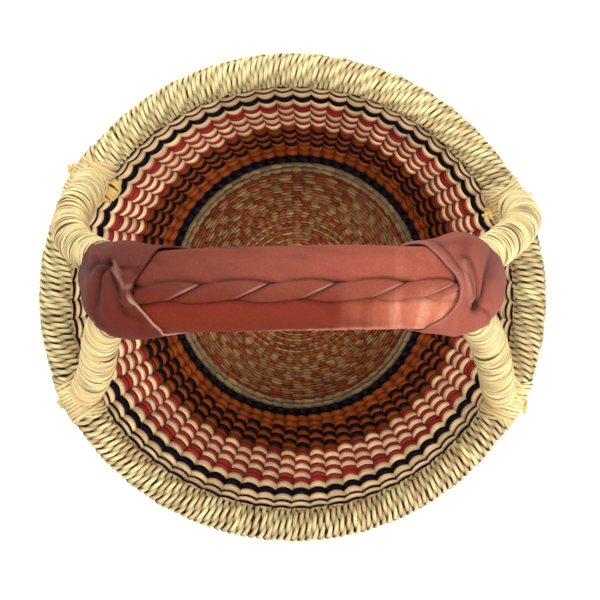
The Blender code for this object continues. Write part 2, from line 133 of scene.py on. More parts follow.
class HandleSettings(bpy.types.PropertyGroup):
    """Sizes of the handle and its leather"""

    rise: size("Rise", "Height of the grip over the rim", 0.132)
    half_span: size("Half span", "From the grip's middle to a foot, along the grip", 0.1405)
    lean: size("Lean", "How far the grip leans to the back", 0.022)
    sway: size("Sway", "How far the grip leans along itself", 0.006)
    skew: share("Skew", "How far the grip turns away from the rim's long axis", 0.018)
    core_radius: size("Core radius", "Radius of one grass core", 0.0098)
    leg_radius: size("Leg radius", "Radius of a bound leg", 0.0122)
    bow_start: share("Bow start", "Where the legs start to bow on the handle's line", 0.62)
    foot_angles: FloatVectorProperty(
        name="Foot angles", description="Where the four legs stand on the rim, from the handle's line",
        default=[math.radians(angle) for angle in (24.0, 24.0, 31.5, 24.0)], size=4, subtype="NONE",
    )
    foot_outsets: FloatVectorProperty(
        name="Foot outsets", description="How far each leg stands outside the middle of the rim",
        default=(-0.004, -0.004, 0.0, 0.005), size=4, precision=4,
    )
    bows: FloatVectorProperty(
        name="Bows", description="How far each leg bows outwards", default=(0.0, 0.004, 0.017, 0.016), size=4,
        precision=4,
    )
    bow_eases: FloatVectorProperty(
        name="Bow eases", description="Under 1, a leg bows more by the leather than by the rim",
        default=(1.0, 1.0, 0.66, 1.0), size=4,
    )
    leather: size("Leather", "Thickness of the leather", 0.0019)
    seam_width: size("Seam width", "Width of the plaited seam", 0.0118)
    seam_height: size("Seam height", "Thickness of the plaited seam", 0.0026)
    lobe_length: size("Lobe length", "From one slit of the plait to the next", 0.0335)


class DyeSettings(bpy.types.PropertyGroup):
    """Colours of the grass and the leather"""

    rim: colour("Rim", "Natural straw of the rim", (0.91, 0.75, 0.37))
    rim_dark: colour("Rim, aged", "Straw of the rim where it has browned", (0.60, 0.41, 0.19))
    leg: colour("Leg", "Natural straw of the legs", (0.97, 0.775, 0.375))
    leg_dark: colour("Leg, aged", "Straw of the legs where it has browned", (0.88, 0.60, 0.27))
    natural: colour("Natural", "Natural grass of the wall", (0.88, 0.610, 0.340))
    floor: colour("Floor", "Natural grass of the floor", (0.30, 0.190, 0.076))
    rust: colour("Rust", "Rust-dyed grass of the floor", (0.178, 0.031, 0.0060))
    orange: colour("Orange", "Orange-dyed grass", (0.250, 0.048, 0.008))
    red: colour("Red", "Red-dyed grass", (0.32, 0.025, 0.019))
    black: colour("Black", "Blue-black dyed grass", (0.0045, 0.0028, 0.0070))
    knot: colour("Knot", "Tied straw ends", (1.0, 0.74, 0.28))
    knot_dark: colour("Knot, aged", "Tied straw ends where they have browned", (1.0, 0.66, 0.22))
    leather: colour("Leather", "Leather of the grip", (0.180, 0.023, 0.0095))
    # Painted light: the grip takes this colour towards the right, where the lamp lights it, and in its real
    # patches of wear
    leather_lit_and_rubbed: colour("Leather, worn", "Leather of the grip where hands wore it", (0.49, 0.142, 0.076))
    # Painted sheen: the purplish tone of the grip's back and top, made brighter to the right by painted light
    leather_back_sheen: colour("Leather, back", "Leather along the back of the grip", (0.230, 0.053, 0.032))
    cuff: colour("Cuff", "Leather of the cuffs", (0.145, 0.022, 0.0115))
    # Painted light: the cuffs take this colour towards the right, where the lamp lights them, and in patches
    # of wear
    cuff_light: colour("Cuff, worn", "Leather of the cuffs where it is worn", (0.33, 0.080, 0.051))
    # Painted sheen: the purplish tone of the cuffs' upper side, made brighter to the right by painted light
    cuff_shade: colour("Cuff, back", "Leather along the back of the cuffs", (0.172, 0.046, 0.034))


class StageSettings(bpy.types.PropertyGroup):
    """The camera and the light"""

    camera_place: FloatVectorProperty(
        name="Camera place", description="Where the camera stands", default=(0.0259, 0.0639, 0.6886),
        size=3, subtype="TRANSLATION",
    )
    camera_tilt: FloatProperty(
        name="Camera tilt", description="Turn about x", default=math.radians(-4.5), subtype="ANGLE"
    )
    camera_bank: FloatProperty(
        name="Camera bank", description="Turn about y", default=math.radians(1.2), subtype="ANGLE"
    )
    view_share: share("View share", "Focal length as a share of the picture's width", 850 / 600)
    shift_x: share("Shift x", "Sideways shift as a share of the picture's width", -12 / 600)
    shift_y: share("Shift y", "Upward shift as a share of the picture's width", -25.7 / 600)
    world_light: share("World light", "Strength of the light from all round", 0.64)
    key_light: share("Key light", "Power of the large lamp at the front right", 10.7)
    fill_light: share("Fill light", "Power of the large lamp at the back", 6.6)


SETTINGS = {
    "basket_body": BodySettings,
    "basket_binding": BindingSettings,
    "basket_handle": HandleSettings,
    "basket_dyes": DyeSettings,
    "basket_stage": StageSettings,
}


def settings():
    """The scene's body, binding, handle, dye and stage settings."""
    scene = bpy.context.scene
    return [getattr(scene, name) for name in SETTINGS]


# The shapes that all pieces follow

# The wall's middle line from the edge of the floor to the underside of the rim core:
# share of the way out, share of the way up
WALL_LINE_SHARES = (
    (0.000, 0.000),
    (0.077, 0.002),
    (0.154, 0.015),
    (0.230, 0.043),
    (0.297, 0.086),
    (0.357, 0.144),
    (0.489, 0.335),
    (0.656, 0.577),
    (0.841, 0.846),
    (0.921, 0.944),
    (1.000, 1.000),
)

# The handle's line from the middle of the grip to a foot, at even steps:
# share of the half span, share of the rise, share of the spread from the grip to the foot
HANDLE_LINE_SHARES = (
    (0.000, 1.000, 0.00),
    (0.275, 0.985, 0.00),
    (0.515, 0.925, 0.00),
    (0.690, 0.790, 0.05),
    (0.790, 0.585, 0.22),
    (0.880, 0.315, 0.68),
    (1.000, 0.000, 1.00),
)

# The wall's courses from the floor up: piece, rows, height of a row in courses, the two dyes of a row
WALL_RUNS = (
    ("wall_base_band", 1, 1.10, "black", "black"),
    ("wall_orange_weave", 2, 0.99, "orange", "orange"),
    ("wall_orange_weave", 5, 0.99, "orange", "black"),
    ("wall_orange_weave", 1, 0.97, "rust", "rust"),
    ("wall_red_weave", 6, 0.95, "natural", "red"),
    ("wall_red_weave", 1, 1.00, "red", "red"),
    ("wall_red_weave", 1, 1.20, "natural", "natural"),
    ("wall_black_band", 1, 1.20, "black", "black"),
    ("wall_top_weave", 1, 0.95, "natural", "natural"),
    ("wall_top_weave", 1, 0.30, "black", "black"),
    ("wall_top_weave", 1, 0.52, "natural", "natural"),
    ("wall_top_weave", 1, 0.33, "black", "black"),
    ("wall_top_weave", 1, 0.50, "natural", "natural"),
)

WALL_SLOTS = {
    "wall_base_band": "black_straw",
    "wall_orange_weave": "orange_straw",
    "wall_red_weave": "red_straw",
    "wall_black_band": "black_straw",
    "wall_top_weave": "wall_straw",
}

# Points of the wall's line from one entry to the next, and the step in which the handle's direction
# is measured
WALL_SAMPLES = 12
HANDLE_STEP = 0.004


def catmull_rom(before, start, end, after, at):
    """The value at a share of the way from start to end on a smooth curve through four values."""
    slope_in = (end - before) / 2
    slope_out = (after - start) / 2
    s2, s3 = at**2, at**3
    return (
        start * (2 * s3 - 3 * s2 + 1)
        + slope_in * (s3 - 2 * s2 + at)
        + end * (3 * s2 - 2 * s3)
        + slope_out * (s3 - s2)
    )


def smooth_step(low, high, value):
    """0 up to low, 1 from high, and smooth between them."""
    at = min(1.0, max(0.0, (value - low) / (high - low)))
    return at * at * (3 - 2 * at)


def bump_at(distance, reach):
    """1 at no distance, falling smoothly to nothing well past reach."""
    return math.exp(-((distance / reach) ** 2))


def waver(*place_of):
    """Smooth noise from -1 to 1 at a place of three numbers."""
    return noise.noise(Vector(place_of))


def compass(theta):
    """The outward direction at an angle round the basket, and the direction round it."""
    return Vector((math.cos(theta), math.sin(theta), 0)), Vector((-math.sin(theta), math.cos(theta), 0))


def oval(body, theta, height_share):
    """How much wider than round the basket is at an angle, at a share of its height."""
    return 1 + body.oval_share * height_share * math.cos(2 * theta)


def rim_centre(body, theta):
    """The middle of the rim roll at an angle round the basket, and the outward direction there."""
    outward, _ = compass(theta)
    return outward * body.rim_radius * oval(body, theta, 1) + Vector((0, 0, body.rim_height)), outward


def wall_line(body):
    """The wall's middle line as many points of radius, height and length so far."""
    reach = body.core_radius
    top_radius = body.rim_radius + reach * math.cos(body.slot_angle)
    top_height = body.rim_height + reach * math.sin(body.slot_angle)
    low_radius, low_height = body.floor_radius, body.floor_thickness / 2
    knots = [
        (low_radius + (top_radius - low_radius) * a, low_height + (top_height - low_height) * b)
        for a, b in WALL_LINE_SHARES
    ]
    first = (2 * knots[0][0] - knots[1][0], knots[0][1])
    last = tuple(2 * knots[-1][i] - knots[-2][i] for i in range(2))
    knots = [first, *knots, last]
    points = []
    for i in range(1, len(knots) - 2):
        four = knots[i - 1 : i + 3]
        for j in range(WALL_SAMPLES):
            points.append([catmull_rom(*(k[axis] for k in four), j / WALL_SAMPLES) for axis in range(2)])
    points.append(list(knots[-2]))
    points[0].append(0.0)
    for a, b in zip(points, points[1:]):
        b.append(a[2] + math.hypot(b[0] - a[0], b[1] - a[1]))
    return points


def wall_place(line, length):
    """Radius, height, and the outward normal's two parts, at a length along the wall's middle line."""
    i = 0
    while i < len(line) - 2 and line[i + 1][2] < length:
        i += 1
    a, b = line[i], line[i + 1]
    at = (length - a[2]) / (b[2] - a[2])
    before, after = line[max(i - 1, 0)], line[min(i + 2, len(line) - 1)]
    run, rise = after[0] - before[0], after[1] - before[1]
    reach = math.hypot(run, rise)
    return a[0] + (b[0] - a[0]) * at, a[1] + (b[1] - a[1]) * at, rise / reach, -run / reach


def line_shares(u):
    """The three shares of HANDLE_LINE_SHARES at any u from -1 to 1."""
    table = HANDLE_LINE_SHARES
    at = abs(u) * (len(table) - 1)
    i = min(int(at), len(table) - 2)
    shares = []
    for column in range(3):
        flip = -1 if column == 0 else 1
        first = table[i - 1][column] if i > 0 else flip * table[1][column]
        last = table[i + 2][column] if i + 2 < len(table) else 2 * table[-1][column] - table[-2][column]
        shares.append(catmull_rom(first, table[i][column], table[i + 1][column], last, at - i))
    return shares


# The legs in the order of the settings' lists, with their sides along X and Y
LEGS = (("front_left", -1, -1), ("front_right", 1, -1), ("back_left", -1, 1), ("back_right", 1, 1))
# Half the room between the two cores
GAP = 0.0003


def leg_number(side_x, side_y):
    """Where a leg stands in the settings' lists."""
    return (1 if side_x > 0 else 0) + (2 if side_y > 0 else 0)


def foot_angle(handle, side_x, side_y):
    """Where a leg stands on the rim, as an angle round the basket."""
    theta = handle.foot_angles[leg_number(side_x, side_y)]
    return side_y * (theta if side_x > 0 else math.pi - theta)


def core_point(body, handle, u, side_y):
    """A point on the line of the front core, for side_y -1, or of the back core, for side_y 1."""
    along, rise, spread = line_shares(u)
    side_x = math.copysign(1, u)
    leg = leg_number(side_x, side_y)
    centre, outward = rim_centre(body, foot_angle(handle, side_x, side_y))
    foot = centre + outward * handle.foot_outsets[leg]
    together = handle.core_radius + GAP
    half_spread = together + (abs(foot.y) - together) * spread
    bow = max(0.0, (abs(u) - handle.bow_start) / (1 - handle.bow_start))
    out = handle.half_span * along + (abs(foot.x) - handle.half_span) * spread**2
    out += handle.bows[leg] * math.sin(math.pi * bow ** handle.bow_eases[leg]) ** 2
    x = side_x * out + handle.sway * rise
    return Vector((
        x,
        side_y * half_spread + handle.lean * rise + handle.skew * x * rise,
        foot.z + handle.rise * rise,
    ))


def handle_point(body, handle, u, side_y=0):
    """A point on the handle's line: side_y is 1 for the back core, -1 for the front, 0 between them."""
    if side_y:
        return core_point(body, handle, u, side_y)
    return (core_point(body, handle, u, -1) + core_point(body, handle, u, 1)) / 2


def half_spread(body, handle, u):
    """How far each core lies from the middle of the handle at u."""
    return (core_point(body, handle, u, 1).y - core_point(body, handle, u, -1).y) / 2


def handle_place(body, handle, u, side_y=0):
    """The point of the handle's line at u, and the line's direction there."""
    ahead = handle_point(body, handle, min(u + HANDLE_STEP, 1), side_y)
    behind = handle_point(body, handle, max(u - HANDLE_STEP, -1), side_y)
    return handle_point(body, handle, u, side_y), (ahead - behind).normalized()


def square_to(along, sideways):
    """The direction nearest to sideways that is square to along."""
    return (sideways - along * sideways.dot(along)).normalized()


def handle_frame(body, handle, u):
    """The point of the handle's line at u, and the sideways and outward directions there."""
    centre, along = handle_place(body, handle, u)
    sideways = square_to(along, Vector((0, 1, 0)))
    return centre, sideways, along.cross(sideways)


# Meshes and node trees


def link_object(name, mesh):
    """A linked object that holds a mesh."""
    obj = bpy.data.objects.new(name, mesh)
    bpy.context.scene.collection.objects.link(obj)
    return obj


def link_mesh(name, vertices, faces):
    """A linked object from vertices and faces, shaded smooth."""
    mesh = bpy.data.meshes.new(name)
    mesh.from_pydata([tuple(v) for v in vertices], [], faces)
    mesh.update()
    mesh.shade_smooth()
    return link_object(name, mesh)


def add_attribute(mesh, name, kind, values):
    """Stores one value for each vertex: kind is FLOAT, FLOAT_VECTOR or FLOAT_COLOR."""
    attribute = mesh.attributes.new(name, kind, "POINT")
    key = {"FLOAT": "value", "FLOAT_VECTOR": "vector", "FLOAT_COLOR": "color"}[kind]
    flat = values if kind == "FLOAT" else [part for value in values for part in value]
    attribute.data.foreach_set(key, flat)


def link_skin(name, rings, material, marks=None, capped=False):
    """A smooth skin through rings of points, with its marks as attributes.

    Its last ring is joined to the first. When capped, both are closed by a face instead.
    """
    bm = bmesh.new()
    rows = [[bm.verts.new(p) for p in ring] for ring in rings]
    for low, high in zip(rows, rows[1:] if capped else rows[1:] + rows[:1]):
        for i in range(len(low)):
            j = (i + 1) % len(low)
            bm.faces.new((low[i], low[j], high[j], high[i]))
    if capped:
        bm.faces.new(rows[0][::-1])
        bm.faces.new(rows[-1])
    bm.normal_update()
    bmesh.ops.recalc_face_normals(bm, faces=bm.faces)
    mesh = bpy.data.meshes.new(name)
    bm.to_mesh(mesh)
    bm.free()
    mesh.shade_smooth()
    mesh.materials.append(material)
    for label, values in (marks or {}).items():
        add_attribute(mesh, label, "FLOAT", values)
    return link_object(name, mesh)


class Tree:
    """A small helper that adds nodes to a node tree and links them."""

    def __init__(self, tree):
        self.tree = tree

    def feed(self, socket, value):
        """Links an output to a socket, or sets the socket's value."""
        if isinstance(value, bpy.types.NodeSocket):
            self.tree.links.new(value, socket)
        else:
            socket.default_value = value

    def add(self, kind, values=None, **options):
        """The outputs of a new node. values sets or links its inputs by name or number."""
        node = self.tree.nodes.new(kind)
        for name, value in options.items():
            setattr(node, name, value)
        for key, value in (values or {}).items():
            self.feed(node.inputs[key], value)
        return node.outputs

    def first(self, kind, values=None, **options):
        """The first output of a new node."""
        return self.add(kind, values, **options)[0]

    def math(self, operation, *values):
        return self.first("ShaderNodeMath", dict(enumerate(values)), operation=operation)

    def vector(self, operation, *values):
        return self.first("ShaderNodeVectorMath", dict(enumerate(values)), operation=operation)

    def scale(self, vector, by):
        return self.first("ShaderNodeVectorMath", {0: vector, "Scale": by}, operation="SCALE")

    def noise(self, place, scale, detail, roughness=0.5, dimensions="3D"):
        """The strength of noise at a place, or at one number when dimensions is 1D."""
        key = "W" if dimensions == "1D" else "Vector"
        values = {key: place, "Scale": scale, "Detail": detail, "Roughness": roughness}
        return self.add("ShaderNodeTexNoise", values, noise_dimensions=dimensions)["Fac"]

    def remap(self, value, low, high, new_low=0.0, new_high=1.0, **options):
        """A value moved from the range low to high into the range new_low to new_high."""
        values = {"Value": value, "From Min": low, "From Max": high, "To Min": new_low, "To Max": new_high}
        return self.first("ShaderNodeMapRange", values, **options)

    def blend(self, factor, *colours):
        """A mix of two colours, each an output or three numbers."""
        values = {"Factor": factor}
        for key, value in zip("AB", colours):
            values[key] = value if isinstance(value, bpy.types.NodeSocket) else (*value, 1.0)
        return self.add("ShaderNodeMix", values, data_type="RGBA")["Result"]

    def relief(self, height, strength, distance):
        """The normal that a height gives to a surface."""
        values = {"Height": height, "Strength": strength, "Distance": distance}
        return self.first("ShaderNodeBump", values)

    def attribute(self, name, output="Fac"):
        """An attribute of the mesh that a material is on."""
        return self.add("ShaderNodeAttribute", attribute_name=name)[output]

    def named(self, name, kind):
        """An attribute of the mesh that a geometry tree works on."""
        return self.first("GeometryNodeInputNamedAttribute", {"Name": name}, data_type=kind)

    def store(self, geometry, name, value, domain="POINT"):
        """The geometry with a number stored under a name."""
        values = {"Geometry": geometry, "Name": name, "Value": value}
        return self.first("GeometryNodeStoreNamedAttribute", values, data_type="FLOAT", domain=domain)

    def finish(self, geometry, material, result):
        """Makes the geometry real, gives it a material and hands it out."""
        real = self.first("GeometryNodeRealizeInstances", {"Geometry": geometry})
        values = {"Geometry": real, "Material": material}
        self.feed(result, self.first("GeometryNodeSetMaterial", values))
        return self.tree


SOCKETS = {
    "geometry": "NodeSocketGeometry",
    "object": "NodeSocketObject",
    "material": "NodeSocketMaterial",
    "number": "NodeSocketFloat",
    "length": "NodeSocketFloat",
    "whole": "NodeSocketInt",
    "vector": "NodeSocketVector",
    "colour": "NodeSocketColor",
}


def new_tree(name, kind, inputs, outputs):
    """A node tree with named sockets, and the sockets of its input and output nodes."""
    group = bpy.data.node_groups.new(name, kind)
    for way, sockets in (("INPUT", inputs), ("OUTPUT", outputs)):
        for label, sort in sockets.items():
            socket = group.interface.new_socket(label, in_out=way, socket_type=SOCKETS[sort])
            if sort == "length":
                socket.subtype = "DISTANCE"
    tree = Tree(group)
    return tree, tree.add("NodeGroupInput"), group.nodes.new("NodeGroupOutput").inputs


def laid_stitches_tree():
    """Lays one stitch on every point, turned to face out and run along, each a little uneven."""
    if found := bpy.data.node_groups.get("laid_stitches"):
        return found
    tree, given, result = new_tree(
        "laid_stitches",
        "GeometryNodeTree",
        {
            "Points": "geometry",
            "Stitch": "object",
            "Unevenness": "number",
            "Seed": "whole",
            "Grass": "material",
        },
        {"Stitches": "geometry"},
    )
    facing = {0: tree.named("face_out", "FLOAT_VECTOR"), 1: tree.named("run_along", "FLOAT_VECTOR")}
    turn = tree.first("FunctionNodeAxesToRotation", facing, primary_axis="Z", secondary_axis="X")
    limits = {"Min": (-1.0, -1.0, -1.0), "Max": (1.0, 1.0, 1.0), "Seed": given["Seed"]}
    spread = tree.first("FunctionNodeRandomValue", limits, data_type="FLOAT_VECTOR")
    uneven = tree.vector("ADD", tree.scale(spread, given["Unevenness"]), (1.0, 1.0, 1.0))
    scale = tree.vector("MULTIPLY", tree.named("stitch_size", "FLOAT_VECTOR"), uneven)
    shape = tree.add("GeometryNodeObjectInfo", {"Object": given["Stitch"], "As Instance": True})
    laying = {
        "Points": given["Points"],
        "Instance": shape["Geometry"],
        "Rotation": turn,
        "Scale": scale,
    }
    laid = tree.first("GeometryNodeInstanceOnPoints", laying)
    chance = tree.add("FunctionNodeRandomValue", {"Seed": given["Seed"]}, data_type="FLOAT")
    shaded = tree.store(laid, "shade", chance[1], "INSTANCE")
    return tree.finish(shaded, given["Grass"], result["Stitches"])


def bound_strand_tree():
    """Sweeps a flat or round straw along every edge path, with its flat side turned to face_out."""
    if found := bpy.data.node_groups.get("bound_strand"):
        return found
    tree, given, result = new_tree(
        "bound_strand",
        "GeometryNodeTree",
        {
            "Path": "geometry",
            "Width": "length",
            "Thickness": "length",
            "Sides": "whole",
            "Straw": "material",
        },
        {"Strand": "geometry"},
    )
    curve = tree.first("GeometryNodeMeshToCurve", {"Mesh": given["Path"]})
    facing = {"Curve": curve, "Normal": tree.named("face_out", "FLOAT_VECTOR")}
    turned = tree.first("GeometryNodeSetCurveNormal", facing, mode="FREE")
    swelling = {"Curve": turned, "Radius": tree.named("swell", "FLOAT")}
    sized = tree.first("GeometryNodeSetCurveRadius", swelling)
    way = tree.add("GeometryNodeSplineParameter")
    path = tree.store(sized, "way_along", way["Length"])
    circle = tree.first("GeometryNodeCurvePrimitiveCircle", {"Resolution": given["Sides"], "Radius": 1.0})
    proud = tree.first("ShaderNodeSeparateXYZ", {0: tree.first("GeometryNodeInputPosition")})
    # ridge is 1 on the straw's flat faces and 0 at its edges: the straw's material darkens the edges by it,
    # as painted shade
    ridged = tree.store(circle, "ridge", tree.math("ABSOLUTE", proud, 0.0))
    across = tree.math("DIVIDE", given["Width"], 2.0)
    through = tree.math("DIVIDE", given["Thickness"], 2.0)
    flat = tree.first("ShaderNodeCombineXYZ", {"X": through, "Y": across, "Z": 1.0})
    section = tree.first("GeometryNodeTransform", {"Geometry": ridged, "Scale": flat})
    profile = tree.store(section, "way_around", way["Factor"])
    sweeping = {"Curve": path, "Profile Curve": profile, "Fill Caps": True}
    swept = tree.first("GeometryNodeCurveToMesh", sweeping)
    smooth = tree.first("GeometryNodeSetShadeSmooth", {"Geometry": swept})
    return tree.finish(smooth, given["Straw"], result["Strand"])


def grown(obj, tree, inputs, name):
    """Runs a geometry tree on obj and gives back its result as a plain mesh object in obj's place."""
    modifier = obj.modifiers.new("grow", "NODES")
    modifier.node_group = tree
    for item in tree.interface.items_tree:
        if item.in_out == "INPUT" and item.name in inputs:
            modifier[item.identifier] = inputs[item.name]
    depsgraph = bpy.context.evaluated_depsgraph_get()
    mesh = bpy.data.meshes.new_from_object(obj.evaluated_get(depsgraph), depsgraph=depsgraph)
    obj.modifiers.remove(modifier)
    old = obj.data
    obj.data = mesh
    bpy.data.meshes.remove(old)
    obj.name = name
    mesh.name = name
    return obj


def joined(name, objects):
    """One object from several, all at the origin."""
    bm = bmesh.new()
    materials = []
    for obj in objects:
        start = len(bm.faces)
        slots = []
        for material in obj.data.materials:
            if material not in materials:
                materials.append(material)
            slots.append(materials.index(material))
        bm.from_mesh(obj.data)
        bm.faces.ensure_lookup_table()
        for face in bm.faces[start:]:
            face.material_index = slots[face.material_index] if slots else 0
    mesh = bpy.data.meshes.new(name)
    bm.to_mesh(mesh)
    bm.free()
    for material in materials:
        mesh.materials.append(material)
    for obj in objects:
        bpy.data.objects.remove(obj)
    return link_object(name, mesh)


def place(piece, slot, *nodes):
    """Hangs a finished piece on the basket, in place of its CAD nodes."""
    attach(piece, "root")
    if nodes:
        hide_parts(*nodes)


# Materials


def straw_fibre_group():
    """Fine fibres along a straw, with its shade from straw to straw, darkened by a given painted shade."""
    if found := bpy.data.node_groups.get("straw_fibre"):
        return found
    tree, given, result = new_tree(
        "straw_fibre",
        "ShaderNodeTree",
        {
            "Colour": "colour",
            "Fibre Place": "vector",
            "Shade": "number",
            "Streaks": "number",
            "Shade Spread": "number",
            "Depth": "number",
        },
        {"Colour": "colour", "Roughness": "number", "Height": "number"},
    )
    fine = tree.noise(given["Fibre Place"], 1.0, 3.0, 0.6)
    streak = tree.math("MULTIPLY", tree.remap(fine, 0.30, 0.70, -0.5, 0.5), given["Streaks"])
    spread = tree.math("MULTIPLY", tree.math("SUBTRACT", given["Shade"], 0.5), given["Shade Spread"])
    light = tree.math("ADD", tree.math("ADD", streak, spread), 1.0)
    shadow = tree.math("MULTIPLY", light, given["Depth"])
    tree.feed(result["Colour"], tree.scale(given["Colour"], shadow))
    tree.feed(result["Roughness"], tree.remap(fine, 0.0, 1.0, 0.42, 0.72))
    tree.feed(result["Height"], fine)
    return tree.tree


def new_material(name, specular):
    """A material, the helper for its tree, and the sockets of its Principled shader."""
    material = bpy.data.materials.new(name)
    material.use_nodes = True
    surface = material.node_tree.nodes["Principled BSDF"].inputs
    surface["Specular IOR Level"].default_value = specular
    return material, Tree(material.node_tree), surface


STRAW_RELIEF = 0.0004


def finish_straw(tree, surface, bump, values):
    """Feeds the straw fibre group, with its values, into the shader."""
    fibres = tree.add("ShaderNodeGroup", values, node_tree=straw_fibre_group())
    tree.feed(surface["Base Color"], fibres["Colour"])
    tree.feed(surface["Roughness"], fibres["Roughness"])
    tree.feed(surface["Normal"], tree.relief(fibres["Height"], bump, STRAW_RELIEF))


def twined_grass():
    """Grass of the body: the dye of each stitch, fibres along it, painted shade where it dives in and down
    its sides, and a little painted light on its crest.
    """
    if found := bpy.data.materials.get("twined_grass"):
        return found
    material, tree, surface = new_material("twined_grass", 0.12)
    shade = tree.attribute("shade")
    lay = tree.add("ShaderNodeSeparateXYZ", {0: tree.first("ShaderNodeUVMap", uv_map="lay")})
    shift = tree.math("MULTIPLY", shade, 91.0)
    along = tree.math("ADD", tree.math("MULTIPLY", lay["X"], 1.6), shift)
    across = tree.math("MULTIPLY", lay["Y"], 22.0)
    finish_straw(tree, surface, 0.9, {
        "Colour": tree.attribute("dye", "Color"),
        "Fibre Place": tree.first("ShaderNodeCombineXYZ", {"X": along, "Y": across, "Z": shade}),
        "Shade": shade,
        "Depth": tree.remap(tree.attribute("crest"), 0.0, 0.85, 0.16, 1.10),
        "Streaks": 0.60,
        "Shade Spread": 0.44,
    })
    return material


# The dark and the light tone of the sheets behind the stitches and of the rim's core, which are painted shade
# seen between stitches and turns, and of the darker straw inside the legs' bindings
SHADE_AND_CORE_TONES = {
    "warp_grass": ((0.020, 0.010, 0.007), (0.060, 0.032, 0.018)),
    "floor_warp": ((0.05, 0.016, 0.006), (0.15, 0.060, 0.022)),
    "core_grass": ((0.15, 0.095, 0.040), (0.38, 0.26, 0.115)),
}


def shade_and_core_grass(name):
    """Grass that is seen only between the stitches, or where a binding gapes: dark painted shade behind the
    stitches and in the rim's core, a darker straw in the legs' cores.
    """
    if found := bpy.data.materials.get(name):
        return found
    material, tree, surface = new_material(name, 0.20)
    grain = tree.noise(tree.add("ShaderNodeTexCoord")["Object"], 900.0, 2.0)
    tree.feed(surface["Base Color"], tree.blend(grain, *SHADE_AND_CORE_TONES[name]))
    surface["Roughness"].default_value = 0.85
    return material


# Each bound straw: its dye, its aged dye, streaks, spread of its shades, bump, how dark the painted shade
# makes it where it dips and down its sides, and how much nearer its second dye it turns per metre along X, Y
# and Z
BOUND_STRAWS = {
    "rim_cord": ("rim", "rim_dark", 0.45, 0.45, 0.8, 0.22, 0.12, (0.6, -0.9, 0.0)),
    "leg_straw_binding": ("leg", "leg_dark", 0.55, 0.45, 0.9, 0.36, 0.40, (0.0, -1.3, 0.0)),
    "lashing_straw": ("leg", "leg_dark", 0.50, 0.45, 0.9, 0.40, 0.25, (0.0, 0.0, 0.0)),
    "knot_straw": ("knot", "knot_dark", 0.30, 0.35, 0.8, 0.90, 0.55, (0.0, 0.0, 0.0)),
}


def bound_straw(name, dyes):
    """Straw swept along a path: fibres along it, and a tone that wanders."""
    if found := bpy.data.materials.get(name):
        return found
    dye, aged_dye, streaks, spread, bump, gap, edge, browned = BOUND_STRAWS[name]
    material, tree, surface = new_material(name, 0.38)
    along = tree.attribute("way_along")
    across = tree.math("MULTIPLY", tree.attribute("way_around"), 16.0)
    fibre = {"X": tree.math("MULTIPLY", along, 90.0), "Y": across}
    place_at = tree.add("ShaderNodeTexCoord")["Object"]
    blotch = tree.noise(place_at, 55.0, 2.0)
    turned = tree.noise(tree.math("MULTIPLY", along, 13.0), 1.0, 1.0, dimensions="1D")
    both = tree.math("ADD", blotch, turned)
    faced = tree.add("ShaderNodeVectorMath", {0: place_at, 1: browned}, operation="DOT_PRODUCT")
    amber = tree.remap(tree.math("ADD", both, faced["Value"]), 0.85, 1.25, 0.0, 0.85)
    # Painted shade where the straw dips under its neighbours and down the edges of each strand, a little
    # lighter on its crest
    depth = tree.remap(tree.attribute("crest"), 0.0, 1.0, gap, 1.06)
    side = tree.remap(tree.attribute("ridge"), 0.0, 0.80, edge, 1.05)
    finish_straw(tree, surface, bump, {
        "Colour": tree.blend(amber, getattr(dyes, dye), getattr(dyes, aged_dye)),
        "Fibre Place": tree.first("ShaderNodeCombineXYZ", fibre),
        "Shade": tree.noise(tree.math("MULTIPLY", along, 34.0), 1.0, 2.0, dimensions="1D"),
        "Depth": tree.math("MULTIPLY", depth, side),
        "Streaks": streaks,
        "Shade Spread": spread,
    })
    return material


def leather_grain_group():
    """The grain of soft goatskin: fine pebbles and a few stretched pores."""
    if found := bpy.data.node_groups.get("leather_grain"):
        return found
    tree, given, result = new_tree(
        "leather_grain",
        "ShaderNodeTree",
        {"Place": "vector", "Scale": "number"},
        {"Height": "number", "Speckle": "number"},
    )
    cells = {"Vector": given["Place"], "Scale": given["Scale"]}
    pebble = tree.add("ShaderNodeTexVoronoi", cells, feature="SMOOTH_F1")["Distance"]
    fine = tree.noise(given["Place"], tree.math("MULTIPLY", given["Scale"], 0.45), 5.0)
    tree.feed(result["Height"], tree.math("ADD", tree.math("MULTIPLY", pebble, 0.6), fine))
    tree.feed(result["Speckle"], fine)
    return tree.tree


# Leather where it is scuffed pale, shown only where painted light falls and so partly a painted highlight,
# and where it is cut
SCUFF_AND_HIGHLIGHT_COLOUR = (0.78, 0.37, 0.26)
RAW_EDGE_COLOUR = (0.40, 0.215, 0.155)
# How closely the bands of wear follow each other along X, Y and Z
WEAR_BANDS = (75.0, 14.0, 14.0)
LEATHER_GRAIN = 1900.0
LEATHER_RELIEF = 0.0003


